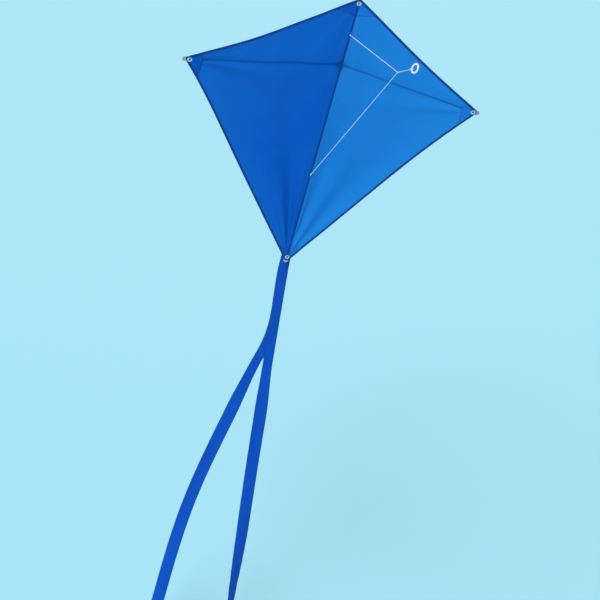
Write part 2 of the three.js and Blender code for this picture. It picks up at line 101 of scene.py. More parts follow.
class Signal:
    """A node's output in a material, which Python's arithmetic turns into Math nodes."""

    def __init__(self, paint: "Paint", socket: bpy.types.NodeSocket) -> None:
        """Wraps a socket.

        Args:
            paint: The material that the socket's node is in.
            socket: The output socket.
        """
        self.paint = paint
        self.socket = socket

    def maths(self, operation: str, *others: "Value") -> "Signal":
        """Feeds this signal and others to a Math node.

        Args:
            operation: The Math node's operation.
            others: The node's further inputs.

        Returns:
            The node's output.
        """
        values = dict(enumerate((self, *others)))
        return self.paint.node("ShaderNodeMath", {"operation": operation}, values)

    def __add__(self, other: "Value") -> "Signal":
        """self + other."""
        return self.maths("ADD", other)

    __radd__ = __add__

    def __mul__(self, other: "Value") -> "Signal":
        """self * other."""
        return self.maths("MULTIPLY", other)

    __rmul__ = __mul__

    def __sub__(self, other: "Value") -> "Signal":
        """self - other."""
        return self.maths("SUBTRACT", other)

    def __rsub__(self, other: "Value") -> "Signal":
        """other - self."""
        return (self * -1.0) + other

    def __truediv__(self, other: "Value") -> "Signal":
        """self / other."""
        return self.maths("DIVIDE", other)

    def __pow__(self, other: "Value") -> "Signal":
        """self ** other."""
        return self.maths("POWER", other)

    def __abs__(self) -> "Signal":
        """The signal without its sign."""
        return self.maths("ABSOLUTE")

    def __gt__(self, other: "Value") -> "Signal":
        """1 where the signal is over other, and 0 elsewhere."""
        return self.maths("GREATER_THAN", other)

    def wave(self, period: float) -> "Signal":
        """A sine of the signal with this period."""
        return (self * (2 * math.pi / period)).maths("SINE")

    def between(self, low: float, high: float) -> "Signal":
        """Ramps from 0 at low to 1 at high, smoothly."""
        settings = {"interpolation_type": "SMOOTHSTEP"}
        return self.paint.node("ShaderNodeMapRange", settings, {0: self, 1: low, 2: high})


Value = Union[Signal, float]


class Paint:
    """A material under construction."""

    def __init__(self, name: str) -> None:
        """Starts an empty material.

        Args:
            name: The material's name.
        """
        self.material = bpy.data.materials.new(name)
        self.material.use_nodes = True
        self.tree = self.material.node_tree
        self.tree.nodes.clear()

    def node(
        self,
        kind: str,
        settings: Optional[dict[str, object]] = None,
        sockets: Optional[dict[Union[int, str], object]] = None,
        output: Union[int, str] = 0,
    ) -> Signal:
        """Adds a node.

        Args:
            kind: The node's type.
            settings: The node's properties.
            sockets: What each input holds or is linked to, by its number or identifier.
            output: The number or identifier of the output to use.

        Returns:
            That output.
        """
        made = self.tree.nodes.new(kind)
        for key, value in (settings or {}).items():
            setattr(made, key, value)
        for key, value in (sockets or {}).items():
            socket = self._find(made.inputs, key)
            if isinstance(value, Signal):
                self.tree.links.new(value.socket, socket)
            elif isinstance(value, tuple) and len(value) == 3 and socket.type == "RGBA":
                socket.default_value = (*value, 1.0)
            else:
                socket.default_value = value
        return Signal(self, self._find(made.outputs, output))

    @staticmethod
    def _find(sockets: bpy.types.bpy_prop_collection, key: Union[int, str]) -> bpy.types.NodeSocket:
        """The socket with this number, identifier or name."""
        if isinstance(key, int):
            return sockets[key]
        return next(s for s in sockets if key in (s.identifier, s.name))

    def cloth_map(self) -> Signal:
        """Places on the piece's own flat map, in metres."""
        return self.node("ShaderNodeUVMap", {"uv_map": Mesher.MAP})

    def axes(self, vector: Signal) -> tuple[Signal, Signal]:
        """The first two parts of a vector."""
        split = self.node("ShaderNodeSeparateXYZ", {}, {0: vector})
        return split, Signal(self, split.socket.node.outputs[1])

    def noise(self, size: float, detail: float = 3.0, stretch: Colour = (1, 1, 1)) -> Signal:
        """Smooth noise over the piece.

        Args:
            size: The size of its larger blotches, in metres.
            detail: The number of finer layers.
            stretch: How much finer it is along each axis of the map.

        Returns:
            Noise from 0 to 1, mostly near a half.
        """
        place = self.node(
            "ShaderNodeVectorMath",
            {"operation": "MULTIPLY"},
            {0: self.cloth_map(), 1: tuple(s / size for s in stretch)},
        )
        sockets = {"Vector": place, "Scale": 1.0, "Detail": detail, "Roughness": 0.55}
        return self.node("ShaderNodeTexNoise", {}, sockets)

    def mix(self, share: Value, first: Union[Signal, Colour], second: Union[Signal, Colour]) -> Signal:
        """A blend of two colours.

        Args:
            share: How much of the second colour there is.
            first: The colour at 0.
            second: The colour at 1.

        Returns:
            The blended colour.
        """
        sockets = {"Factor_Float": share, "A_Color": first, "B_Color": second}
        return self.node("ShaderNodeMix", {"data_type": "RGBA"}, sockets, "Result_Color")

    def bump(self, height: Signal, depth: float, strength: float = 1.0) -> Signal:
        """A surface normal for a relief of this depth in metres."""
        sockets = {"Height": height, "Distance": depth, "Strength": strength}
        return self.node("ShaderNodeBump", {}, sockets, "Normal")

    def principled(self, **sockets: object) -> Signal:
        """A Principled shader, with its sockets named in lower case with underscores."""
        named = {key.replace("_", " ").title().replace("Ior", "IOR"): v for key, v in sockets.items()}
        return self.node("ShaderNodeBsdfPrincipled", {}, named)

    def finished(self, surface: Signal) -> bpy.types.Material:
        """Sends a shader to the output, and returns the material."""
        output = self.tree.nodes.new("ShaderNodeOutputMaterial")
        self.tree.links.new(surface.socket, output.inputs["Surface"])
        return self.material


def plain_weave(paint: Paint, thread: float) -> Signal:
    """The height of a plain weave, in which each thread goes over and under its neighbours.

    Args:
        paint: The material.
        thread: From one thread to the next, in metres.

    Returns:
        Heights from 0 to 1.
    """
    across, along = paint.axes(paint.cloth_map())
    warp, weft = across.wave(2 * thread), along.wave(2 * thread)
    on_top = (warp * weft) > 0.0
    return on_top * abs(warp) + (1.0 - on_top) * abs(weft)


@dataclass(frozen=True)
class ClothFinish:
    """Thin woven polyester, dyed, that lets some light through."""

    name: str
    colour: Colour
    deep: Colour
    glow: Colour
    glow_share: float = 0.4
    thread: float = 0.32 * MM
    edge: float = 0.0
    # The colour of painted light towards the nose, the wing tips and the lower edges.
    pale: Optional[Colour] = None
    # The width and the slope of a painted shadow band along the spar.
    spar_shadow_width: float = 0.0
    spar_shadow_slope: float = 0.18
    right_colour: Optional[Colour] = None

    def make(self) -> bpy.types.Material:
        """Makes the cloth's material: weave, uneven dye, handling creases and a soft sheen.

        Returns:
            The material. With a pale colour, painted light makes the cloth paler towards the nose, the wing
            tips and the lower edges; with a spar shadow width, a painted shadow darkens a band along the
            spar; and with a right colour the cloth to the right of the keel has that one.
        """
        paint = Paint(self.name)
        across, along = paint.axes(paint.cloth_map())
        weave = plain_weave(paint, self.thread)
        blotch = paint.noise(70 * MM, 3.0).between(0.35, 0.65)
        slub = paint.noise(6 * MM, 2.0, (9.0, 0.6, 1.0)).between(0.3, 0.75)
        dye = paint.mix(blotch * 0.35 + slub * 0.12 + weave * 0.1, self.deep, self.colour)
        # Painted light: the cloth grows paler towards the nose and the wing tips, and along its lower edges.
        if self.pale:
            outward = abs(across) + along * 0.75
            dye = paint.mix(outward.between(-0.12, 0.3) * 0.8 + blotch * 0.15, dye, self.pale)
            from_edge = abs(across) - along * 0.754 - 0.394
            dye = paint.mix(from_edge.between(-0.08, 0.01) * 0.8, dye, self.pale)
        # Painted shadow: a darker band along the spar, where the spar's shadow falls through the cloth.
        if self.spar_shadow_width:
            from_spar = (along + abs(across) * self.spar_shadow_slope) / self.spar_shadow_width
            spar_shadow = (from_spar * from_spar + 1.0) ** -2.0
            dye = paint.mix(spar_shadow * 0.45, dye, tuple(c * 0.55 for c in self.deep))
        if self.right_colour:
            dye = paint.mix(across > 0.0, dye, self.right_colour)
        if self.edge:
            fused = 1.0 - (self.edge - abs(across)).between(0.2 * MM, 0.9 * MM)
            dye = paint.mix(fused * 0.4, dye, tuple(c * 0.55 for c in self.deep))
        crease = paint.noise(38 * MM, 4.0, (1.0, 0.55, 1.0))
        relief = paint.bump(weave, 0.05 * MM, 0.35)
        relief = paint.node(
            "ShaderNodeBump", {}, {"Height": crease, "Distance": 1.6 * MM, "Strength": 0.35, "Normal": relief}
        )
        front = paint.principled(
            base_color=dye,
            roughness=blotch * 0.1 + slub * 0.06 + 0.5,
            specular_ior_level=0.09,
            sheen_weight=0.06,
            sheen_roughness=0.45,
            sheen_tint=(0.2, 0.5, 1.0),
            normal=relief,
        )
        behind = paint.node("ShaderNodeBsdfTranslucent", {}, {"Color": self.glow, "Normal": relief})
        both = {0: self.glow_share, 1: front, 2: behind}
        return paint.finished(paint.node("ShaderNodeMixShader", {}, both))


@dataclass(frozen=True)
class TapeFinish:
    """Folded binding tape and doubled cloth, in which little light comes through."""

    name: str
    colour: Colour
    deep: Colour
    thread: float = 0.45 * MM
    pucker: float = 3.2 * MM

    def make(self) -> bpy.types.Material:
        """Makes the tape's material: a coarse weave that puckers between its stitches."""
        paint = Paint(self.name)
        weave = plain_weave(paint, self.thread)
        _, along = paint.axes(paint.cloth_map())
        puckers = along.wave(self.pucker) * 0.5 + paint.noise(5 * MM, 2.0)
        wear = paint.noise(24 * MM, 3.0).between(0.45, 0.75)
        dye = paint.mix(wear * 0.4 + weave * 0.25, self.deep, self.colour)
        relief = paint.bump(puckers * 0.8 + weave * 0.25, 0.16 * MM, 0.6)
        return paint.finished(
            paint.principled(
                base_color=dye,
                roughness=wear * 0.12 + 0.6,
                specular_ior_level=0.12,
                sheen_weight=0.06,
                sheen_roughness=0.5,
                sheen_tint=(0.2, 0.45, 1.0),
                normal=relief,
            )
        )


@dataclass(frozen=True)
class MetalFinish:
    """Bright plated metal with fine scratches and a little tarnish."""

    name: str
    colour: Colour
    tarnish: Colour

    def make(self) -> bpy.types.Material:
        """Makes the metal's material."""
        paint = Paint(self.name)
        dull = paint.noise(2.2 * MM, 4.0).between(0.5, 0.8)
        scratch = paint.noise(0.5 * MM, 2.0, (14.0, 0.5, 1.0))
        return paint.finished(
            paint.principled(
                base_color=paint.mix(dull * 0.6, self.colour, self.tarnish),
                metallic=1.0,
                roughness=dull * 0.2 + scratch * 0.14 + 0.12,
                normal=paint.bump(scratch, 0.02 * MM, 0.4),
            )
        )


@dataclass(frozen=True)
class VinylFinish:
    """Soft clear vinyl, a little cloudy and yellowed."""

    name: str
    colour: Colour
    cloudy: Colour
    clear: float = 0.35

    def make(self) -> bpy.types.Material:
        """Makes the vinyl's material."""
        paint = Paint(self.name)
        cloud = paint.noise(6 * MM, 3.0).between(0.35, 0.7)
        scuff = paint.noise(1.4 * MM, 4.0, (1.0, 3.0, 1.0))
        return paint.finished(
            paint.principled(
                base_color=paint.mix(cloud * 0.7, self.colour, self.cloudy),
                roughness=cloud * 0.12 + scuff * 0.12 + 0.1,
                transmission_weight=self.clear,
                ior=1.5,
                coat_weight=0.5,
                coat_roughness=0.12,
                normal=paint.bump(scuff, 0.06 * MM, 0.3),
            )
        )


@dataclass(frozen=True)
class RodFinish:
    """Pultruded fibreglass: long fibres under a satin resin, with pale scuffs."""

    name: str
    colour: Colour
    fibre: Colour

    def make(self) -> bpy.types.Material:
        """Makes the rod's material."""
        paint = Paint(self.name)
        grain = paint.noise(1.2 * MM, 4.0, (2.5, 0.03, 1.0))
        scuff = paint.noise(9 * MM, 5.0, (2.0, 0.5, 1.0)).between(0.6, 0.78)
        tone = paint.mix(grain.between(0.4, 0.8) * 0.5 + scuff * 0.3, self.colour, self.fibre)
        return paint.finished(
            paint.principled(
                base_color=tone,
                roughness=grain * 0.15 + scuff * 0.25 + 0.22,
                coat_weight=0.3,
                coat_roughness=0.2,
                normal=paint.bump(grain, 0.05 * MM, 0.35),
            )
        )


@dataclass(frozen=True)
class MouldedFinish:
    """Moulded plastic with a fine texture and paler, handled patches."""

    name: str
    colour: Colour
    worn: Colour
    roughness: float
    texture: float = 0.6 * MM
    coat: float = 0.0

    def make(self) -> bpy.types.Material:
        """Makes the plastic's material."""
        paint = Paint(self.name)
        spark = paint.noise(self.texture, 3.0)
        worn = paint.noise(8 * MM, 5.0).between(0.52, 0.75)
        return paint.finished(
            paint.principled(
                base_color=paint.mix(worn * 0.5, self.colour, self.worn),
                roughness=spark * 0.12 + worn * 0.1 + self.roughness,
                coat_weight=self.coat,
                coat_roughness=0.15,
                normal=paint.bump(spark, 0.05 * MM, 0.35),
            )
        )


@dataclass(frozen=True)
class CordFinish:
    """Twisted yarn with fine fibres along each strand."""

    name: str
    colour: Colour
    shade: Colour
    fibre: float = 0.12 * MM

    def make(self) -> bpy.types.Material:
        """Makes the yarn's material."""
        paint = Paint(self.name)
        across, along = paint.axes(paint.cloth_map())
        fibres = (across + along * 0.35).wave(self.fibre * 2) * 0.5 + 0.5
        soil = paint.noise(14 * MM, 4.0).between(0.45, 0.75)
        return paint.finished(
            paint.principled(
                base_color=paint.mix(fibres * 0.35 + soil * 0.35, self.colour, self.shade),
                roughness=soil * 0.1 + 0.7,
                specular_ior_level=0.3,
                sheen_weight=0.4,
                sheen_roughness=0.5,
                normal=paint.bump(fibres, 0.06 * MM, 0.5),
            )
        )


@dataclass(frozen=True)
class FloorFinish:
    """A plain pale studio floor."""

    name: str
    colour: Colour

    def make(self) -> bpy.types.Material:
        """Makes the floor's material."""
        paint = Paint(self.name)
        return paint.finished(paint.principled(base_color=self.colour, roughness=0.9))


class Finishes:
    """The kite's finishes, each made once."""

    def __init__(self) -> None:
        """Makes every material."""
        # The pale colours are painted light on the sail cloth, and the spar shadow widths give it a painted
        # shadow band along the spar.
        left, left_deep, left_painted_light = (0.001, 0.104, 0.52), (0.0005, 0.082, 0.45), (0.009, 0.155, 0.58)
        right, right_deep, right_painted_light = (0.011, 0.215, 0.69), (0.008, 0.19, 0.63), (0.018, 0.25, 0.7)
        ribbon, ribbon_deep = (0.008, 0.145, 0.72), (0.006, 0.12, 0.65)
        navy, navy_deep = (0.003, 0.072, 0.37), (0.0015, 0.045, 0.27)
        self.cloth = {
            Side.LEFT: ClothFinish(
                "cloth_deep_blue", left, left_deep, (0.0025, 0.12, 0.57), pale=left_painted_light, spar_shadow_width=6 * MM
            ).make(),
            Side.RIGHT: ClothFinish(
                "cloth_light_blue", right, right_deep, (0.014, 0.235, 0.73), pale=right_painted_light, spar_shadow_width=2 * MM
            ).make(),
        }
        # The patch cloth is brighter than the panels' cloth. This is painted light that makes up for the
        # light the doubled cloth holds back.
        patch, patch_deep, patch_right = (0.003, 0.14, 0.68), (0.002, 0.12, 0.6), (0.016, 0.27, 0.86)
        self.patch = ClothFinish(
            "patch_blue", patch, patch_deep, (0.008, 0.2, 0.8), 0.2, right_colour=patch_right
        ).make()
        self.ribbon = ClothFinish(
            "ribbon_blue", ribbon, ribbon_deep, (0.008, 0.14, 0.7), 0.25, edge=16 * MM
        ).make()
        self.binding = TapeFinish("binding_navy", navy, navy_deep).make()
        self.strap = TapeFinish("strap_blue", (0.003, 0.08, 0.42), (0.002, 0.06, 0.34)).make()
        self.thread = CordFinish("thread_navy", (0.004, 0.07, 0.34), (0.002, 0.04, 0.22)).make()
        self.metal = MetalFinish("eyelet_metal", (0.78, 0.8, 0.83), (0.42, 0.42, 0.42)).make()
        clear = VinylFinish("cap_clear", (0.8, 0.84, 0.92), (0.66, 0.7, 0.82)).make()
        aged = VinylFinish("cap_aged", (0.62, 0.57, 0.5), (0.42, 0.38, 0.33)).make()
        lilac = VinylFinish("cap_lilac", (0.5, 0.48, 0.78), (0.36, 0.35, 0.62)).make()
        self.vinyl = {Corner.NOSE: clear, Corner.TAIL: clear, Corner.LEFT: aged, Corner.RIGHT: lilac}
        self.rod = RodFinish("rod_fibreglass", (0.012, 0.012, 0.014), (0.09, 0.09, 0.095)).make()
        self.black = MouldedFinish("connector_black", (0.01, 0.011, 0.013), (0.06, 0.06, 0.065), 0.42).make()
        # The near-black stud in each eyelet's hole is painted shade that makes the hole look dark.
        self.stud = MouldedFinish("stud_painted_shade", (0.004, 0.01, 0.02), (0.02, 0.03, 0.04), 0.6).make()
        ring, ring_worn = (0.86, 0.88, 0.88), (0.7, 0.69, 0.64)
        self.ring = MouldedFinish("ring_white", ring, ring_worn, 0.2, 1.5 * MM, 0.5).make()
        self.cord = CordFinish("cord_white", (0.95, 0.97, 0.98), (0.74, 0.78, 0.82)).make()
        self.floor = FloorFinish("floor_pale", (0.4, 0.8, 0.96)).make()


# --- Meshes ------------------------------------------------------------------------------------


def parallel_frames(path: np.ndarray) -> tuple[np.ndarray, np.ndarray, np.ndarray]:
    """Frames that run along a path without twisting.

    Args:
        path: The path's points, one a row.

    Returns:
        The tangents and two normals at each point.
    """
    tangents = np.gradient(path, axis=0)
    tangents /= np.linalg.norm(tangents, axis=1)[:, None]
    start = np.eye(3)[np.argmin(abs(tangents[0]))]
    normals = np.zeros_like(tangents)
    normal = np.cross(tangents[0], start)
    for i, tangent in enumerate(tangents):
        normal = normal - tangent * (normal @ tangent)
        normal /= np.linalg.norm(normal)
        normals[i] = normal
    return tangents, normals, np.cross(tangents, normals)


def arc_lengths(path: np.ndarray) -> np.ndarray:
    """The length along a path up to each of its points."""
    return np.concatenate([[0.0], np.cumsum(np.linalg.norm(np.diff(path, axis=0), axis=1))])


def smoothstep(low: float, high: float, value: np.ndarray) -> np.ndarray:
    """0 under low, 1 over high, and smooth between them."""
    share = np.clip((value - low) / (high - low), 0, 1)
    return share * share * (3 - 2 * share)


class Mesher:
    """Collects the faces of one piece, with a flat map in metres."""

    MAP = "cloth_map"

    def __init__(self) -> None:
        """Starts an empty piece."""
        self.points: list[np.ndarray] = []
        self.faces: list[tuple[int, ...]] = []
        self.map: list[tuple[float, float]] = []
        self.count = 0

    def _add_points(self, points: np.ndarray) -> int:
        """Adds points and returns the number of the first."""
        first = self.count
        self.points.append(points.reshape(-1, 3))
        self.count += len(self.points[-1])
        return first

    def grid(
        self,
        points: np.ndarray,
        rows: Optional[np.ndarray] = None,
        columns: Optional[np.ndarray] = None,
        wrap_rows: bool = False,
        wrap_columns: bool = False,
        caps: bool = False,
        keep: Optional[np.ndarray] = None,
    ) -> None:
        """Adds a grid of quads.

        Args:
            points: Points by row and column.
            rows: The map's second number for each row, or for each point.
            columns: The map's first number for each column, or for each point.
            wrap_rows: Whether the last row joins the first.
            wrap_columns: Whether the last column joins the first.
            caps: Whether the first and last rows are closed by a face each.
            keep: Which quads to keep, by row and column.
        """
        m, n = points.shape[:2]
        first = self._add_points(points)
        rows = self._map_part(rows, points, 0, wrap_rows, wrap_columns)
        columns = self._map_part(columns, points, 1, wrap_rows, wrap_columns)
        for i in range(m if wrap_rows else m - 1):
            for j in range(n if wrap_columns else n - 1):
                if keep is not None and not keep[i, j]:
                    continue
                corners = ((i, j), (i, j + 1), (i + 1, j + 1), (i + 1, j))
                self.faces.append(tuple(first + (a % m) * n + b % n for a, b in corners))
                self.map.extend((columns[a, b], rows[a, b]) for a, b in corners)
        if caps:
            for row, order in ((0, 1), (m - 1, -1)):
                ring = [(row, j) for j in range(n)][::-order]
                self.faces.append(tuple(first + a * n + b for a, b in ring))
                self.map.extend((columns[a, b], rows[a, b]) for a, b in ring)

    @staticmethod
    def _map_part(
        part: Optional[np.ndarray], points: np.ndarray, axis: int, wrap_rows: bool, wrap_columns: bool
    ) -> np.ndarray:
        """One number of the map for each point, and for the repeated ones where the grid wraps."""
        m, n = points.shape[:2]
        if part is None:
            joined = np.concatenate([points, points[:1]]) if wrap_rows else points
            joined = np.concatenate([joined, joined[:, :1]], 1) if wrap_columns else joined
            line = joined[:, n // 2] if axis == 0 else joined[m // 2]
            part = arc_lengths(line)
        part = np.asarray(part, float)
        if part.ndim == 2:
            return part
        shape = (m + wrap_rows, n + wrap_columns)
        return np.broadcast_to(part[:, None] if axis == 0 else part[None, :], shape)

    def tube(
        self, path: np.ndarray, radii: Union[float, np.ndarray], sides: int = 16, closed: bool = False
    ) -> None:
        """Adds a round tube.

        Args:
            path: The points that it follows.
            radii: Its radius, or one for each point.
            sides: The number of its sides.
            closed: Whether its end meets its start.
        """
        _, normals, binormals = parallel_frames(path)
        angles = np.linspace(0, 2 * math.pi, sides, endpoint=False)
        radii = np.broadcast_to(radii, len(path))
        cos, sin = (part(angles)[None, :, None] for part in (np.cos, np.sin))
        spokes = cos * normals[:, None] + sin * binormals[:, None]
        points = path[:, None] + radii[:, None, None] * spokes
        self.grid(points, wrap_rows=closed, wrap_columns=True, caps=not closed)

    def twisted(
        self,
        path: np.ndarray,
        diameter: float,
        pitch: float = 5.5 * MM,
        strands: int = 3,
        closed: bool = False,
    ) -> None:
        """Adds a cord of strands laid round each other.

        Args:
            path: The cord's centre line.
            diameter: The cord's outer diameter.
            pitch: The length of a strand's full turn.
            strands: The number of strands.
            closed: Whether the cord's end meets its start.
        """
        length = arc_lengths(path)
        steps = max(8, int(length[-1] / (0.5 * MM)))
        at = np.linspace(0, length[-1], steps, endpoint=not closed)
        path = np.stack([np.interp(at, length, path[:, k]) for k in range(3)], 1)
        _, normals, binormals = parallel_frames(path)
        reach, radius = diameter * 0.24, diameter * 0.265
        turns = length[-1] / pitch
        if closed:
            turns = max(1, round(turns))
        for strand in range(strands):
            angle = 2 * math.pi * (turns * at / length[-1] + strand / strands)
            centre = path + reach * (np.cos(angle)[:, None] * normals + np.sin(angle)[:, None] * binormals)
            spin = np.linspace(0, 2 * math.pi, 7, endpoint=False)[None] + angle[:, None]
            spokes = np.cos(spin)[..., None] * normals[:, None] + np.sin(spin)[..., None] * binormals[:, None]
            self.grid(centre[:, None] + radius * spokes, wrap_rows=closed, wrap_columns=True, caps=not closed)

    def lathe(self, profile: Sequence[tuple[float, float]], place: Matrix, segments: int = 64) -> None:
        """Adds a closed profile turned about the local Y axis.

        Args:
            profile: Radius and Y of each point, which join up.
            place: Where the piece goes.
            segments: The number of segments round it.
        """
        radius, height = np.array(profile).T
        angles = np.linspace(0, 2 * math.pi, segments, endpoint=False)
        around = np.stack([np.cos(angles), np.zeros(segments), np.sin(angles)], 1)
        points = around[:, None] * radius[None, :, None] + np.array([0, 1, 0]) * height[None, :, None]
        self.grid(moved(points, place), wrap_rows=True, wrap_columns=True)

    def slab(
        self,
        front: np.ndarray,
        back: np.ndarray,
        wrap: bool = False,
        map_rows: Optional[np.ndarray] = None,
        map_columns: Optional[np.ndarray] = None,
    ) -> None:
        """Adds a closed slab between two grids of points.

        Args:
            front: Points of one face, by row and column.
            back: Points of the other face.
            wrap: Whether the last row joins the first, as in a ring.
            map_rows: The map's second number for each point of a face.
            map_columns: The map's first number for each point of a face.
        """
        ring = np.concatenate([front, back[:, ::-1]], 1)
        rows = None if map_rows is None else np.concatenate([map_rows, map_rows[:, ::-1]], 1)
        columns = None if map_columns is None else np.concatenate([map_columns, map_columns[:, ::-1]], 1)
        if rows is not None:
            rows = np.concatenate([rows, rows[:, :1]], 1)
            columns = np.concatenate([columns, columns[:, :1]], 1)
            if wrap:
                rows, columns = (np.concatenate([part, part[:1]]) for part in (rows, columns))
        self.grid(ring, rows, columns, wrap_rows=wrap, wrap_columns=True, caps=not wrap)

    def build(
        self,
        name: str,
        material: bpy.types.Material,
        body: Optional[str] = None,
        slot: Optional[str] = None,
        replaces: Sequence[str] = (),
    ) -> bpy.types.Object:
        """Makes the object.

        Args:
            name: The piece's name.
            material: Its material.
            body: The body that it rides on, if it is known yet.
            slot: The record's material slot; not used.
            replaces: The nodes that it stands for.

        Returns:
            The object, in the scene.
        """
        mesh = bpy.data.meshes.new(name)
        mesh.from_pydata(np.concatenate(self.points).tolist(), [], self.faces)
        layer = mesh.uv_layers.new(name=self.MAP)
        layer.data.foreach_set("uv", np.array(self.map, np.float32).ravel())
        mesh.polygons.foreach_set("use_smooth", [True] * len(mesh.polygons))
        mesh.materials.append(material)
        mesh.validate()
        piece = bpy.data.objects.new(name, mesh)
        bpy.context.scene.collection.objects.link(piece)
        if body:
            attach(piece, body)
        if replaces:
            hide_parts(*replaces)
        log.info("%s: %d faces", name, len(self.faces))
        return piece


def moved(points: np.ndarray, place: Matrix) -> np.ndarray:
    """Points taken through a matrix."""
    matrix = np.array(place)
    return points @ matrix[:3, :3].T + matrix[:3, 3]


def soften_edges(piece: bpy.types.Object, degrees: float = 35.0) -> None:
    """Keeps edges sharper than an angle crisp in a smooth-shaded piece."""
    piece.data.set_sharp_from_angle(angle=math.radians(degrees))


def trefoil(
    centre: Vector, along: Vector, radius: float, tightness: float = 0.62, steps: int = 72
) -> np.ndarray:
    """The centre line of an overhand knot.

    Args:
        centre: The knot's centre.
        along: The direction in which the cord runs through it.
        radius: The knot's reach, up to the cord's centre line.
        tightness: The share of the radius that the knot is long.
        steps: The number of points.

    Returns:
        A closed path.
    """
    t = np.linspace(0, 2 * math.pi, steps, endpoint=False)
    flat = np.stack([np.sin(t) + 2 * np.sin(2 * t), np.cos(t) - 2 * np.cos(2 * t)], 1) / 3
    path = np.stack([flat[:, 0], flat[:, 1], -np.sin(3 * t) * tightness], 1) * radius
    turn = Vector(along).to_track_quat("Z", "Y").to_matrix().to_4x4()
    return moved(path, Matrix.Translation(centre) @ turn)


# --- The kite's layout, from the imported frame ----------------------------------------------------


def middle(node: str) -> Vector:
    """The middle of a node's box."""
    low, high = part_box(node)
    return (low + high) / 2


def vertices(node: str) -> np.ndarray:
    """A node's vertices."""
    return np.array([v.co for v in frame["nodes"][node].data.vertices], float)


def hinge(name: str) -> Vector:
    """Where a joint's axis is."""
    return Vector(next(j["pos_m"] for j in frame["joints"] if j["name"] == name))


@dataclass(frozen=True)
class Rod:
    """A straight rod: its two ends and its radius."""

    start: Vector
    end: Vector
    radius: float

    @classmethod
    def from_node(cls, node: str) -> "Rod":
        """Finds the rod that a node holds, with its end nearer the crossing first."""
        points = vertices(node)
        centre = points.mean(0)
        axis = np.linalg.svd(points - centre, full_matrices=False)[2][0]
        along = (points - centre) @ axis
        away = np.linalg.norm((points - centre) - along[:, None] * axis, axis=1)
        ends = [Vector(centre + axis * along.min()), Vector(centre + axis * along.max())]
        ends.sort(key=lambda p: p.length)
        return cls(ends[0], ends[1], float(away.max()))

    @property
    def direction(self) -> Vector:
        """From the start to the end."""
        return (self.end - self.start).normalized()


@dataclass(frozen=True)
class Layout:
    """The sail's corners and planes."""

    nose: float
    tail: float
    reach: float
    drop: float
    dihedral: float
    margin: float = 9 * MM
    corner: float = 10 * MM
    draw: dict[tuple[Side, bool], tuple[float, float]] = field(
        default_factory=lambda: {
            (Side.LEFT, True): (9.2 * MM, 1.15),
            (Side.RIGHT, True): (5.4 * MM, 1.2),
            (Side.LEFT, False): (4.2 * MM, 3.0),
            (Side.RIGHT, False): (6.8 * MM, 1.9),
        }
    )

    @classmethod
    def from_frame(cls) -> "Layout":
        """Measures the eyelets."""
        nose, tail, tip = middle("eyelet_nose"), middle("eyelet_tail"), middle("eyelet_right")
        back = tip.y - nose.y
        return cls(nose.z, -tail.z, math.hypot(tip.x, back), -tip.z, math.atan2(back, tip.x))

    def edge_reach(self, side: Side, v: np.ndarray, inset: float = 0.0) -> np.ndarray:
        """How far the cloth reaches from the keel at a height.

        Args:
            side: The wing.
            v: Heights.
            inset: A distance inward from the cloth's edge.

        Returns:
            The distances from the keel.
        """
        reaches = [self.reach + self.corner - inset + 0 * v]
        for upper, from_keel, run in (
            (True, self.nose - v, self.nose + self.drop),
            (False, v + self.tail, self.tail - self.drop),
        ):
            slope = self.reach / run
            margin = self.margin - inset - self.drawn_in(side, upper, from_keel / run)
            reaches.append(from_keel * slope + margin * math.hypot(1, slope))
        return np.min(reaches, axis=0)

    def drawn_in(self, side: Side, upper: bool, share: np.ndarray) -> np.ndarray:
        """How far the wind's pull hollows an edge, by the share of the way from the keel to the tip."""
        depth, skew = self.draw[side, upper]
        return depth * np.sin(math.pi * np.clip(share, 0, 1) ** skew)

    def eyelet(self, corner: Corner) -> tuple[float, float]:
        """An eyelet's signed distance from the keel and its height."""
        return {
            Corner.NOSE: (0.0, self.nose),
            Corner.TAIL: (0.0, -self.tail),
            Corner.LEFT: (-self.reach, -self.drop),
            Corner.RIGHT: (self.reach, -self.drop),
        }[corner]

    def wing(self, u: float, v: float) -> Matrix:
        """The frame at a place in a wing's plane: X outward to the right, Y back, Z up."""
        turn = Matrix.Rotation(math.copysign(self.dihedral, u) if u else 0.0, 4, "Z")
        return turn @ Matrix.Translation((u, 0, v))


@dataclass(frozen=True)
class Fold:
    """A soft tension fold that runs out from a corner."""

    corner: Corner
    angle: float
    width: float
    height: float
    reach: float


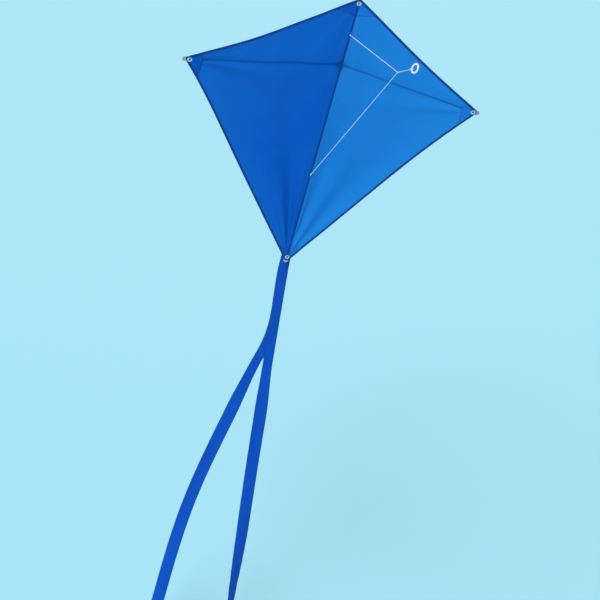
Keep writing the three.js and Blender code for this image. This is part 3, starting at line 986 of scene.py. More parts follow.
@dataclass
class Billow:
    """The shape that the wind gives the cloth between its supports."""

    layout: Layout
    upper: float = 3.2 * MM
    lower: float = 9.0 * MM
    edge: float = 4.0 * MM
    ridge: float = 5.0 * MM
    fold_gain: float = 1.9
    folds: dict[Side, Sequence[Fold]] = field(
        default_factory=lambda: {
            Side.LEFT: (
                Fold(Corner.TAIL, 4.5, 2.6, 2.4 * MM, 0.13),
                Fold(Corner.TAIL, 11.5, 4.2, -4.6 * MM, 0.15),
                Fold(Corner.TAIL, 21.0, 5.5, 4.4 * MM, 0.15),
                Fold(Corner.TAIL, 31.0, 4.5, -2.2 * MM, 0.13),
                Fold(Corner.LEFT, 9.0, 5.0, 1.6 * MM, 0.1),
                Fold(Corner.LEFT, -2.0, 4.0, -0.9 * MM, 0.11),
                Fold(Corner.LEFT, 28.0, 9.0, -2.2 * MM, 0.11),
                Fold(Corner.LEFT, -20.0, 6.0, 1.4 * MM, 0.1),
                Fold(Corner.NOSE, 9.0, 4.0, -0.8 * MM, 0.07),
                Fold(Corner.NOSE, 26.0, 8.0, 1.2 * MM, 0.08),
            ),
            Side.RIGHT: (
                Fold(Corner.TAIL, 7.0, 3.4, -2.2 * MM, 0.14),
                Fold(Corner.TAIL, 16.0, 4.5, 2.2 * MM, 0.13),
                Fold(Corner.TAIL, 27.0, 5.0, -1.8 * MM, 0.12),
                Fold(Corner.RIGHT, 4.0, 4.5, -1.0 * MM, 0.11),
                Fold(Corner.RIGHT, 15.0, 5.5, 1.8 * MM, 0.11),
                Fold(Corner.RIGHT, -14.0, 6.0, 1.4 * MM, 0.1),
                Fold(Corner.NOSE, 12.0, 5.0, 0.8 * MM, 0.08),
            ),
        }
    )

    def depth(self, side: Side, u: np.ndarray, v: np.ndarray) -> np.ndarray:
        """How far the cloth stands back from its wing's plane.

        Args:
            side: The wing.
            u: Distances from the keel.
            v: Heights.

        Returns:
            The distances back.
        """
        plan = self.layout
        outward = u / plan.reach
        above = v + outward * plan.drop
        height = np.where(above > 0, plan.nose, plan.tail)
        up = abs(above) / height
        soft = self.ridge / height
        up = np.sqrt(up * up + soft * soft) - soft
        crossing = np.clip(1 - outward - up, 0, 1)
        swell = np.where(above > 0, self.upper, self.lower)
        back = 27 * swell * up * outward * crossing
        back = back + 4 * self.edge * up * outward * (1 - crossing) ** 2 * np.where(above > 0, 0.6, 1.0)
        for fold in self.folds[side]:
            back = back + self._fold(fold, u, v)
        back = back + 0.35 * MM * np.sin(u / 0.031 + 2.1 * np.sin(v / 0.07)) * np.sin(v / 0.043 + side.value)
        for corner in (Corner.NOSE, Corner.TAIL, Corner.RIGHT):
            at = plan.eyelet(corner)
            back = back * smoothstep(7 * MM, 45 * MM, np.hypot(u - at[0], v - at[1]))
        return back * smoothstep(1.5 * MM, 14 * MM, u)

    def _fold(self, fold: Fold, u: np.ndarray, v: np.ndarray) -> np.ndarray:
        """The depth of one fold."""
        corner = Corner.RIGHT if fold.corner in (Corner.LEFT, Corner.RIGHT) else fold.corner
        at = self.layout.eyelet(corner)
        du, dv = u - at[0], v - at[1]
        inward = {Corner.NOSE: (du, -dv), Corner.TAIL: (du, dv), Corner.RIGHT: (-dv, -du)}[corner]
        angle = np.degrees(np.arctan2(inward[0], inward[1]))
        if corner is Corner.RIGHT:
            angle = angle + math.degrees(math.atan2(self.layout.drop, self.layout.reach))
        away = np.hypot(du, dv) / fold.reach
        across = np.exp(-(((angle - fold.angle) / fold.width) ** 2))
        return -self.fold_gain * fold.height * away * np.exp(1 - away) * across

    def point(self, u: np.ndarray, v: np.ndarray, lift: Union[float, np.ndarray] = 0.0) -> np.ndarray:
        """Places on the cloth.

        Args:
            u: Signed distances from the keel, left below 0.
            v: Heights.
            lift: Distances in front of the cloth.

        Returns:
            The places in the kite's frame.
        """
        u, v = np.broadcast_arrays(np.asarray(u, float), np.asarray(v, float))
        sign = np.where(u < 0, -1.0, 1.0)
        reach, step = abs(u), 0.4 * MM

        def both(du: float, dv: float) -> np.ndarray:
            """The cloth's depth at places shifted by du and dv, each on its own wing."""
            left = self.depth(Side.LEFT, np.maximum(reach + du, 0), v + dv)
            right = self.depth(Side.RIGHT, np.maximum(reach + du, 0), v + dv)
            return np.where(sign < 0, left, right)

        depth = both(0, 0)
        slope_u, slope_v = (both(step, 0) - depth) / step, (both(0, step) - depth) / step
        size = np.sqrt(1 + slope_u**2 + slope_v**2)
        out = reach + lift * slope_u / size
        back = depth - lift / size
        up = v + lift * slope_v / size
        cos, sin = math.cos(self.layout.dihedral), math.sin(self.layout.dihedral)
        return np.stack([sign * (out * cos - back * sin), out * sin + back * cos, up], -1)


# --- Sub-assemblies ------------------------------------------------------------------------------


@dataclass
class Studio:
    """The camera, the lights and the floor."""

    finishes: Finishes
    azimuth: float = -14.635
    elevation: float = 28.972
    roll: float = 16.262
    distance: float = 4.7275
    aim: Vector = field(default_factory=lambda: Vector((0.06226, 0.0, -0.63885)))
    field_of_view: float = 18.0
    floor_height: float = -1.78
    floor_size: float = 60.0

    def place_camera(self) -> None:
        """Adds the camera."""
        azimuth, elevation, roll = (math.radians(a) for a in (self.azimuth, self.elevation, self.roll))
        level_share = math.cos(elevation)
        back = Vector(
            (math.sin(azimuth) * level_share, -math.cos(azimuth) * level_share, math.sin(elevation))
        )
        level = Vector((math.cos(azimuth), math.sin(azimuth), 0))
        up = back.cross(level)
        right = level * math.cos(roll) + up * math.sin(roll)
        turn = Matrix((right, back.cross(right), back)).transposed().to_4x4()
        lens = bpy.data.cameras.new("camera")
        lens.angle = math.radians(self.field_of_view)
        lens.clip_end = 100
        camera = bpy.data.objects.new("camera", lens)
        camera.matrix_world = Matrix.Translation(self.aim + back * self.distance) @ turn
        bpy.context.scene.collection.objects.link(camera)
        bpy.context.scene.camera = camera

    def light(
        self, name: str, azimuth: float, elevation: float, softness: float, strength: float, tint: Colour
    ) -> None:
        """Adds a wide, distant, soft light.

        Args:
            name: The light's name.
            azimuth: Its bearing in degrees, from behind the camera and anticlockwise.
            elevation: Its height in degrees.
            softness: The angle that it spans, in degrees.
            strength: Its power over an area.
            tint: Its colour.
        """
        lamp = bpy.data.lights.new(name, "SUN")
        lamp.angle, lamp.energy, lamp.color = math.radians(softness), strength, tint
        bearing, height = math.radians(azimuth), math.radians(elevation)
        towards = Vector(
            (-math.sin(bearing) * math.cos(height), -math.cos(bearing) * math.cos(height), math.sin(height))
        )
        lamp_object = bpy.data.objects.new(name, lamp)
        lamp_object.matrix_world = towards.to_track_quat("Z", "Y").to_matrix().to_4x4()
        bpy.context.scene.collection.objects.link(lamp_object)

    def dress(self) -> None:
        """Adds the lights, the surrounding light and the floor."""
        self.light("key", 50, 50, 34, 2.5, (1.0, 0.99, 0.97))
        self.light("back", 186, 13, 10, 1.8, (1.0, 1.0, 0.98))
        world = bpy.data.worlds.new("studio")
        world.use_nodes = True
        background = world.node_tree.nodes["Background"]
        background.inputs["Color"].default_value = (0.9, 0.96, 1.0, 1.0)
        background.inputs["Strength"].default_value = 0.24
        bpy.context.scene.world = world
        bpy.context.scene.view_settings.view_transform = "Standard"
        half = self.floor_size / 2
        corners = [(x * half, y * half, self.floor_height) for x, y in ((-1, -1), (1, -1), (1, 1), (-1, 1))]
        mesh = bpy.data.meshes.new("floor")
        mesh.from_pydata(corners, [], [(0, 1, 2, 3)])
        mesh.materials.append(self.finishes.floor)
        floor = bpy.data.objects.new("floor", mesh)
        bpy.context.scene.collection.objects.link(floor)


@dataclass
class Bridle:
    """The two bridle legs, their ties and knots, the lead line and the tow ring."""

    finishes: Finishes
    tie_turns: float = 2.0
    tie_pitch: float = 1.5 * MM
    small_knot: float = 0.78 * MM
    tow_knot: float = 1.75 * MM
    lead_knot: float = 1.15 * MM
    cord_steps: int = 40
    tie_knot: float = 0.9 * MM
    neck_gap: float = 1.5 * MM

    def __post_init__(self) -> None:
        """Finds the ring and the tow point in the frame."""
        self.tow_point = middle("tow_knot")
        band = vertices("tow_ring")
        centre = band.mean(0)
        self.ring_centre = Vector(centre)
        self.ring_normal = Vector(np.linalg.svd(band - centre, full_matrices=False)[2][2])
        away = np.linalg.norm(band - centre, axis=1)
        thickness = np.ptp((band - centre) @ np.array(self.ring_normal))
        self.ring_outer, self.ring_thickness = float(away.max()), float(thickness)
        self.lead = (self.ring_centre - self.tow_point).normalized()

    def _cord(
        self,
        name: str,
        ends: Sequence[Sequence[float]],
        body: str,
        far_end: str,
        goes_with: list[bpy.types.Object],
    ) -> None:
        path = np.linspace(ends[0], ends[1], self.cord_steps)
        mesher = Mesher()
        mesher.twisted(path, CORD_DIAMETER)
        cord = mesher.build(name, self.finishes.cord, body, "cord_white", [name.replace("_cord", "")])

    def _knot(
        self, name: str, centre: Vector, along: Vector, radius: float, body: str, replaces: Sequence[str] = ()
    ) -> bpy.types.Object:
        """Adds a knot in the cord."""
        mesher = Mesher()
        mesher.twisted(trefoil(centre, along, radius), CORD_DIAMETER * 0.92, 4.2 * MM, closed=True)
        return mesher.build(name, self.finishes.cord, body, "cord_white", replaces)

    def build_cords(self) -> None:
        """Adds the legs, the lead line and every knot on them."""
        tow = self._knot("tow_knot_tied", self.tow_point, self.lead, self.tow_knot, "bridle", ["tow_knot"])
        for name, ends in (("bridle_leg_upper", UPPER_LEG), ("bridle_leg_lower", LOWER_LEG)):
            along = Vector(ends[1]) - Vector(ends[0])
            knot = self._knot(f"{name}_knot", Vector(ends[0]), along, self.small_knot, "bridle")
            self._cord(f"{name}_cord", ends, "bridle", "knot", [knot, tow] if "upper" in name else [knot])
        self._cord("lead_line_cord", LEAD_LINE, "lead", "knot", self._loop())

    def _loop(self) -> list[bpy.types.Object]:
        """Adds the loop round the ring's band and its knot."""
        band = (self.ring_outer + self._inner_radius()) / 2
        centre = self.ring_centre - self.lead * band
        radius = self._loop_radius()
        angles = np.linspace(0, 2 * math.pi, 48, endpoint=False)
        cos, sin = np.cos(angles)[:, None], np.sin(angles)[:, None]
        spokes = cos * np.array(self.ring_normal) + sin * np.array(self.lead)
        path = np.array(centre) + radius * spokes
        mesher = Mesher()
        mesher.twisted(path, CORD_DIAMETER * 0.95, closed=True)
        loop = mesher.build("lead_loop_cord", self.finishes.cord, "lead", "cord_white", ["lead_loop"])
        knot_centre = centre - self.lead * (radius + 1.5 * self.lead_knot)
        knot = self._knot("lead_knot", knot_centre, self.lead, self.lead_knot, "lead")
        return [loop, knot]

    def _inner_radius(self) -> float:
        """The tow ring's hole radius."""
        away = np.linalg.norm(vertices("tow_ring") - np.array(self.ring_centre), axis=1)
        return float(away.min())

    def _loop_radius(self) -> float:
        """The loop's centre-line radius, clear of the band's corners."""
        band_width = self.ring_outer - self._inner_radius()
        return math.hypot(band_width, self.ring_thickness) / 2 + CORD_DIAMETER / 2 + 0.1 * MM

    def build_ties(self, spine: Rod, heights: dict[str, float]) -> None:
        """Adds the cord wound round the spine at each tie, its knot and its neck through the cloth.

        Args:
            spine: The spine rod.
            heights: The height of each tie.
        """
        axis_y = spine.start.y
        radius = spine.radius + 0.85 * MM
        for name, height in heights.items():
            steps = int(48 * self.tie_turns)
            turn = np.linspace(0, 2 * math.pi * self.tie_turns, steps)
            rise = (np.linspace(-0.5, 0.5, steps)) * self.tie_pitch * self.tie_turns
            coil = np.stack([radius * np.sin(turn), axis_y - radius * np.cos(turn), height + rise], 1)
            mesher = Mesher()
            mesher.twisted(coil, CORD_DIAMETER)
            front = axis_y - radius
            cloth_y = UPPER_LEG[0][1]
            neck = np.array([[0, y, height] for y in (front, (front + cloth_y) / 2, cloth_y + self.neck_gap)])
            mesher.twisted(neck, CORD_DIAMETER)
            knot = trefoil(Vector((0, front - 0.6 * MM, height)), Vector((1, 0, 0)), self.tie_knot)
            mesher.twisted(knot, CORD_DIAMETER * 0.8, closed=True)
            mesher.build(f"{name}_cord", self.finishes.cord, "kite", "cord_white", [name])

    def build_ring(self) -> None:
        """Adds the tow ring, with a rounded band and a parting line."""
        inner, outer, half = self._inner_radius(), self.ring_outer, self.ring_thickness / 2
        centre, reach = (inner + outer) / 2, (outer - inner) / 2
        profile = []
        for t in np.linspace(0, 2 * math.pi, 40, endpoint=False):
            c, s = math.cos(t), math.sin(t)
            r = centre + reach * math.copysign(abs(c) ** 0.7, c)
            seam = 0.12 * MM * math.exp(-((s * half / (0.12 * MM)) ** 2)) * (c > 0)
            profile.append((r - seam, half * math.copysign(abs(s) ** 0.7, s)))
        across = self.ring_normal.cross(self.lead)
        place = Matrix((self.lead, self.ring_normal, across)).transposed().to_4x4()
        mesher = Mesher()
        mesher.lathe(profile, Matrix.Translation(self.ring_centre) @ place, 120)
        mesher.build("tow_ring_moulded", self.finishes.ring, "ring", "ring_white", ["tow_ring"])


@dataclass
class Stitching:
    """Rows of real stitches on the cloth."""

    length: float = 2.3 * MM
    gap: float = 0.9 * MM
    radius: float = 0.2 * MM
    sides: int = 6

    def along(self, mesher: Mesher, path: np.ndarray, outward: np.ndarray) -> None:
        """Adds a row of stitches.

        Args:
            mesher: The piece that they belong to.
            path: The row's points.
            outward: The cloth's normal at each point.
        """
        lengths = arc_lengths(path)
        period = self.length + self.gap
        for start in np.arange(self.gap, lengths[-1] - self.length, period):
            at = start + self.length * np.array([0.0, 0.12, 0.35, 0.65, 0.88, 1.0])
            centre = np.stack([np.interp(at, lengths, path[:, k]) for k in range(3)], 1)
            normal = np.stack([np.interp(at, lengths, outward[:, k]) for k in range(3)], 1)
            arch = np.array([-0.6, 0.1, 0.6, 0.6, 0.1, -0.6]) * self.radius
            centre = centre + normal * arch[:, None]
            tangent = centre[-1] - centre[0]
            tangent /= np.linalg.norm(tangent)
            side = np.cross(tangent, normal)
            angles = np.linspace(0, 2 * math.pi, self.sides, endpoint=False)[None, :, None]
            radii = self.radius * np.array([0.25, 0.8, 1.0, 1.0, 0.8, 0.25])[:, None, None]
            spokes = np.cos(angles) * normal[:, None] + np.sin(angles) * side[:, None]
            mesher.grid(centre[:, None] + radii * spokes, wrap_columns=True, caps=True)


@dataclass
class Sail:
    """The two cloth panels with their hems, tape, patches and stitching."""

    finishes: Finishes
    billow: Billow
    row_step: float = 2.2 * MM
    columns: int = 76
    hem_width: float = 4.8 * MM
    tape_width: float = 4.0 * MM
    patch_reach: float = 26 * MM
    layer: float = 0.28 * MM
    tie_heights: Sequence[float] = ()
    stitching: Stitching = field(default_factory=Stitching)
    barrel_hole: float = 2.6 * MM
    tie_hole: float = 1.4 * MM
    tie_patch_lift: float = 0.78 * MM
    tie_stitch_radius: float = 5.8 * MM
    hem_end: float = 5.5 * MM
    hem_thickness: float = 0.62 * MM
    hem_stitch_inset: float = 4.0 * MM
    tape_end: float = 6.5 * MM
    tape_lift: float = 0.3 * MM
    patch_lift: float = 0.1 * MM
    patch_inset: float = 0.5 * MM

    def build_panels(self) -> None:
        """Adds the two panels."""
        plan = self.billow.layout
        rows = int((plan.nose + plan.tail + 2 * plan.corner) / self.row_step)
        v = np.linspace(plan.nose + plan.corner, -plan.tail - plan.corner, rows)
        share = np.linspace(0, 1, self.columns)
        for side in Side:
            u = plan.edge_reach(side, v)[:, None] * share[None]
            grid_v = np.broadcast_to(v[:, None], u.shape)
            points = self.billow.point(side.value * np.maximum(u, 1e-7), grid_v)
            keep = self._clear_of_holes(side, u, grid_v)
            mesher = Mesher()
            mesher.grid(points, rows=grid_v, columns=side.value * u, keep=keep)
            slot = "cloth_deep_blue" if side is Side.LEFT else "cloth_light_blue"
            panel = mesher.build(
                f"sail_cloth_{side.label}", self.finishes.cloth[side], "kite", slot, [f"sail_{side.label}"]
            )
            area = float(np.trapz(plan.edge_reach(side, v[::-1]), v[::-1]))
            f"spar_{side.label}_fibreglass"

    def _clear_of_holes(self, side: Side, u: np.ndarray, v: np.ndarray) -> np.ndarray:
        """Which quads lie clear of the eyelets' barrels and the bridle's holes."""
        middle_u = (u[:-1, :-1] + u[1:, 1:]) / 2
        middle_v = (v[:-1, :-1] + v[1:, 1:]) / 2
        tip = Corner.LEFT if side is Side.LEFT else Corner.RIGHT
        keep = np.ones(middle_u.shape, bool)
        holes = [(*self.billow.layout.eyelet(c), self.barrel_hole) for c in (Corner.NOSE, Corner.TAIL, tip)]
        holes += [(0.0, height, self.tie_hole) for height in self.tie_heights]
        for hole_u, hole_v, radius in holes:
            keep &= np.hypot(middle_u - abs(hole_u), middle_v - hole_v) > radius
        return keep

    def _edge_line(self, side: Side, upper: bool, steps: int) -> tuple[np.ndarray, np.ndarray]:
        """The wing-plane points along one outer edge, from the keel's corner to the tip."""
        plan = self.billow.layout
        sign, height = (1, plan.nose) if upper else (-1, plan.tail)
        slope = plan.reach / (height + sign * plan.drop)
        run = (plan.reach + self.hem_end - plan.margin * math.hypot(1, slope)) / slope
        v = np.linspace(sign * (height + plan.corner), sign * (height - run), steps)
        return side.value * plan.edge_reach(side, v), v

    def build_hems(self) -> None:
        """Adds the four folded bindings and their stitching."""
        for side in Side:
            for upper in (True, False):
                self._build_hem(side, upper)

    def _build_hem(self, side: Side, upper: bool) -> None:
        """Adds one binding: the tape wraps the edge from the front to the back."""
        name = f"{'upper' if upper else 'lower'}_{side.label}"
        u, v = self._edge_line(side, upper, 220 if upper else 300)
        direction = np.array([u[-1] - u[0], v[-1] - v[0]])
        direction /= np.linalg.norm(direction)
        inward = np.array([-direction[1], direction[0]])
        if inward[0] * side.value > 0:
            inward = -inward
        corner_lift = 0.45 * MM * (1 - smoothstep(20 * MM, 34 * MM, self._to_corner(u, v)))
        outer, inner = [], []
        wide = self.hem_width
        stops = [(wide, 1.0), (wide * 0.66, 1.05), (wide * 0.33, 1.0), (0.3 * MM, 0.95)]
        fold = [(-0.35 * MM, 0.62), (-0.55 * MM, 0.0), (-0.35 * MM, -0.62)]
        for inset, level in [*stops, *fold, *[(d, -h) for d, h in reversed(stops)]]:
            for lines, thick in ((outer, self.hem_thickness), (inner, self.hem_thickness - self.layer)):
                shift = inset if inset > 0 else inset * (1.0 if thick > 0.5 * MM else 0.5)
                lift = level * thick + np.sign(level) * (corner_lift if level > 0 else 0)
                lines.append(self.billow.point(u + inward[0] * shift, v + inward[1] * shift, lift))
        mesher = Mesher()
        mesher.slab(np.stack(outer, 1), np.stack(inner, 1))
        mesher.build(f"hem_tape_{name}", self.finishes.binding, "kite", "binding_navy", [f"hem_{name}"])
        stitches = Mesher()
        line_u, line_v = (at + way * self.hem_stitch_inset for at, way in zip((u, v), inward))
        for sign in (1, -1):
            lift = sign * (0.66 * MM + (corner_lift if sign > 0 else 0))
            path = self.billow.point(line_u, line_v, lift)
            further = self.billow.point(line_u, line_v, lift + sign * 1 * MM)
            self.stitching.along(stitches, path, (further - path) / MM)
        stitches.build(f"hem_stitches_{name}", self.finishes.thread, "kite", "binding_navy")

    def _to_corner(self, u: np.ndarray, v: np.ndarray) -> np.ndarray:
        """The distance to the nearest eyelet."""
        eyelets = [self.billow.layout.eyelet(corner) for corner in Corner]
        return np.min([np.hypot(u - a, v - b) for a, b in eyelets], axis=0)

    def build_tape(self) -> None:
        """Adds the tape over the keel seam and its two rows of stitches."""
        plan = self.billow.layout
        v = np.linspace(plan.nose - self.tape_end, -plan.tail + self.tape_end, 300)
        over_patch = 0.4 * MM * (1 - smoothstep(24 * MM, 32 * MM, self._to_corner(0 * v, v)))
        u = np.linspace(-0.5, 0.5, 9) * self.tape_width
        waist = 1 + 0.05 * np.sin(v / 0.006) * np.sin(v / 0.031)
        grid_u, grid_v = u[None] * waist[:, None], np.broadcast_to(v[:, None], (len(v), len(u)))
        crown = 0.12 * MM * np.cos(u / self.tape_width * math.pi)[None]
        back = self.billow.point(grid_u, grid_v, self.tape_lift + over_patch[:, None])
        lift = self.tape_lift + self.layer + crown + over_patch[:, None]
        front = self.billow.point(grid_u, grid_v, lift)
        keep_row = np.min([abs(v - h) for h in self.tie_heights], axis=0) > 1.2 * MM
        mesher = Mesher()
        for run in np.split(np.arange(len(v)), np.where(~keep_row)[0]):
            run = run[keep_row[run]]
            if len(run) > 1:
                mesher.slab(front[run], back[run])
        mesher.build("seam_tape_cloth", self.finishes.binding, "kite", "binding_navy", ["seam_tape"])
        stitches = Mesher()
        for sign in (-1, 1):
            for lift in (self.tape_lift + self.layer + 0.1 * MM, -0.12 * MM):
                at = (sign * self.tape_width * 0.36 + 0 * v, v, lift + (over_patch if lift > 0 else 0))
                path = self.billow.point(*at)
                outward = np.tile([0.0, -math.copysign(1, lift), 0.0], (len(v), 1))
                self.stitching.along(stitches, path, outward)
        stitches.build("seam_stitches", self.finishes.thread, "kite", "binding_navy")

    def build_patches(self) -> None:
        """Adds the four corner patches with their stitching, and the bridle's two round patches."""
        for corner in Corner:
            grid_u, grid_v = self._patch_grid(corner)
            back = self.billow.point(grid_u, grid_v, self.patch_lift)
            front = self.billow.point(grid_u, grid_v, self.patch_lift + self.layer)
            mesher = Mesher()
            flat_u, flat_v = np.broadcast_arrays(grid_u, grid_v)
            mesher.slab(front, back, map_rows=flat_v, map_columns=flat_u)
            name = corner.value
            mesher.build(
                f"patch_cloth_{name}", self.finishes.patch, "kite", "patch_blue", [f"patch_{name}"]
            )
            stitches = Mesher()
            for lift, sign in ((self.patch_lift + self.layer, 1), (-self.patch_lift, -1)):
                path = self.billow.point(grid_u[1], grid_v[1], lift)
                outward = np.tile([0.0, -sign, 0.0], (len(path), 1))
                self.stitching.along(stitches, path, outward)
            stitches.build(f"patch_stitches_{name}", self.finishes.thread, "kite", "patch_blue")
        radii = np.linspace(self.tie_hole, 7 * MM, 8)
        angles = np.linspace(0, 2 * math.pi, 48, endpoint=False)
        for name, height in zip(("upper", "lower"), self.tie_heights):
            grid_u = np.sin(angles)[:, None] * radii[None]
            grid_v = height + np.cos(angles)[:, None] * radii[None]
            crown = 0.15 * MM * np.cos((radii - self.tie_hole) / (5.6 * MM) * math.pi / 2)[None]
            back = self.billow.point(grid_u, grid_v, self.tie_patch_lift)
            front = self.billow.point(grid_u, grid_v, self.tie_patch_lift + self.layer + crown)
            mesher = Mesher()
            mesher.slab(front, back, wrap=True, map_rows=grid_v, map_columns=grid_u)
            mesher.build(
                f"tie_patch_cloth_{name}", self.finishes.patch, "kite", "binding_navy", [f"tie_patch_{name}"]
            )
            ring = np.linspace(0, 2 * math.pi, 80)
            reach = self.tie_stitch_radius
            path = self.billow.point(reach * np.sin(ring), height + reach * np.cos(ring), 1.12 * MM)
            stitches = Mesher()
            self.stitching.along(stitches, path, np.tile([0.0, -1.0, 0.0], (len(ring), 1)))
            stitches.build(f"tie_patch_stitches_{name}", self.finishes.thread, "kite", "binding_navy")

    def _patch_grid(self, corner: Corner) -> tuple[np.ndarray, np.ndarray]:
        """Signed distances and heights over a corner patch, whose first rows are its inner edge."""
        plan = self.billow.layout
        depth = np.linspace(0, 1, 26)
        width = np.linspace(-1, 1, 25)
        if corner in (Corner.NOSE, Corner.TAIL):
            sign = 1 if corner is Corner.NOSE else -1
            length = self.patch_reach + plan.corner
            tip = plan.nose if corner is Corner.NOSE else -plan.tail
            v = tip + sign * (plan.corner - length * (1 - depth))
            bow = sign * 4 * MM * (1 - depth)[:, None] * (1 - width[None] ** 2)
            grid_v = v[:, None] - bow
            left, right = (plan.edge_reach(side, v, self.patch_inset)[:, None] for side in Side)
            grid_u = width[None] * (np.where(width[None] < 0, left, right) + 0 * bow)
            return grid_u, grid_v
        sign = 1 if corner is Corner.RIGHT else -1
        run = self.patch_reach + plan.corner - self.patch_inset
        reach = plan.reach - self.patch_reach + depth * run
        upper_slope = (plan.nose + plan.drop) / plan.reach
        lower_slope = (plan.tail - plan.drop) / plan.reach
        margin = plan.margin - self.patch_inset
        top = plan.nose - reach * upper_slope + margin * math.hypot(1, upper_slope)
        bottom = -plan.tail + reach * lower_slope - margin * math.hypot(1, lower_slope)
        side = Side(sign)
        top = top - plan.drawn_in(side, True, reach / plan.reach) * math.hypot(1, upper_slope)
        bottom = bottom + plan.drawn_in(side, False, reach / plan.reach) * math.hypot(1, lower_slope)
        share = (width[None] + 1) / 2
        grid_v = bottom[:, None] * (1 - share) + top[:, None] * share
        bow = 4 * MM * (1 - depth)[:, None] * (1 - width[None] ** 2)
        return sign * (reach[:, None] - bow), grid_v


@dataclass
class Fittings:
    """The eyelets, washers, rods, end caps and centre connector."""

    finishes: Finishes
    layout: Layout
    socket_length: float = 26 * MM
    socket_start: float = 8 * MM
    tongue_tip: float = 17.5 * MM
    tongue_half_width: float = 6 * MM
    sections: int = 64
    socket_radius: float = 3.5 * MM
    bore_radius: float = 2.25 * MM
    tongue_half_thickness: float = 1.0 * MM
    tongue_y: float = 2.74 * MM
    eyelet_hole: float = 2.2 * MM
    barrel_wall: float = 0.4 * MM
    flange_thickness: float = 0.9 * MM
    curl_radius: float = 0.6 * MM
    washer_thickness: float = 0.6 * MM
    metal_crease: float = 50.0
    rod_ease: float = 0.4 * MM
    voxel: float = 0.45 * MM

    def build_eyelets(self) -> None:
        """Adds each eyelet with its curled flange, and the washer that it is set over."""
        low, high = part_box("eyelet_nose")
        rim, front, back = (high.x - low.x) / 2, low.y, high.y
        hole, wall = self.eyelet_hole, self.barrel_wall
        flange = front + self.flange_thickness
        curl = self.curl_radius
        roll = [
            (hole + curl * (1 - math.sin(t)), front + curl * (1 - math.cos(t)))
            for t in np.linspace(math.pi / 2, 0, 7)
        ]
        crown = [
            (hole + curl + (rim - hole - curl) * s, front + 0.85 * MM * s**2.4)
            for s in np.linspace(0.1, 1, 9)
        ]
        under = [(rim, flange), (rim - 0.5 * MM, flange), (hole + wall, flange)]
        set_end = [
            (hole + wall, back - 0.35 * MM),
            (hole + 1.1 * MM, back - 0.2 * MM),
            (hole + 1.1 * MM, back),
            (hole, back - 0.05 * MM),
        ]
        for corner in Corner:
            place = self.layout.wing(*self.layout.eyelet(corner))
            mesher = Mesher()
            mesher.lathe([(hole, back - 0.4 * MM), *roll, *crown, *under, *set_end], place)
            name, metal = corner.value, self.finishes.metal
            eyelet = mesher.build(
                f"eyelet_curled_{name}", metal, "kite", "eyelet_metal", [f"eyelet_{name}"]
            )
            soften_edges(eyelet, self.metal_crease)
            washer_front = back - self.washer_thickness
            ring = [
                (hole + wall + 0.15 * MM, washer_front),
                (rim - 0.3 * MM, washer_front),
                (rim, washer_front + 0.2 * MM),
                (rim - 0.25 * MM, back - 0.1 * MM),
                (hole + 1.6 * MM, back - 0.2 * MM),
                (hole + wall + 0.15 * MM, back - 0.36 * MM),
            ]
            mesher = Mesher()
            mesher.lathe(ring, place)
            washer = mesher.build(
                f"washer_pressed_{name}", metal, "kite", "eyelet_metal", [f"washer_{name}"]
            )
            soften_edges(washer, self.metal_crease)

    def build_rods(self) -> dict[str, Rod]:
        """Adds the spine and the two half spars, with eased ends, and returns them."""
        rods = {name: Rod.from_node(name) for name in ("spine_rod", "spar_left", "spar_right")}
        for name, rod in rods.items():
            length = (rod.end - rod.start).length
            ease = self.rod_ease
            between = np.linspace(ease, length - ease, 60)[1:-1]
            at = np.concatenate([[0, ease], between, [length - ease, length]])
            path = np.array(rod.start) + at[:, None] * np.array(rod.direction)
            radii = np.full(len(at), rod.radius)
            radii[[0, -1]] = rod.radius - ease
            mesher = Mesher()
            mesher.tube(path, radii, 32)
            piece = mesher.build(f"{name}_fibreglass", self.finishes.rod, "kite", "rod_fibreglass", [name])
            soften_edges(piece)
        return rods

    def build_caps(self, rods: dict[str, Rod]) -> None:
        """Adds the four end caps: a soft tube pressed flat into a tongue with a stud in the eyelet.

        Args:
            rods: The rods that the caps are pushed on.
        """
        axis_y = rods["spine_rod"].start.y
        outward = {
            Corner.NOSE: Vector((0, 0, 1)),
            Corner.TAIL: Vector((0, 0, -1)),
            Corner.LEFT: rods["spar_left"].direction,
            Corner.RIGHT: rods["spar_right"].direction,
        }
        for corner, direction in outward.items():
            wing = self.layout.wing(*self.layout.eyelet(corner))
            back = wing.to_3x3() @ Vector((0, 1, 0))
            back = (back - direction * back.dot(direction)).normalized()
            across = back.cross(direction)
            eyelet = wing.translation
            shift = eyelet + (wing.to_3x3() @ Vector((0, axis_y, 0))) - back * axis_y
            place = Matrix((across, back, direction)).transposed().to_4x4()
            mesher = Mesher()
            self._cap_body(mesher, Matrix.Translation(shift) @ place, axis_y)
            name, vinyl = corner.value, self.finishes.vinyl[corner]
            mesher.build(f"cap_vinyl_{name}", vinyl, "kite", "cap_clear", [f"cap_{name}"])
            # The dark stud that fills the eyelet's hole is painted shade.
            mesher = Mesher()
            stud = [(0.0005, -1.3), (1.3, -1.2), (1.8, -0.8), (1.8, 2.4), (0.0005, 2.4)]
            mesher.lathe([(r * MM, y * MM) for r, y in stud], Matrix.Translation(shift) @ place, 32)
            mesher.build(f"stud_{name}", self.finishes.stud, "kite", "connector_black")

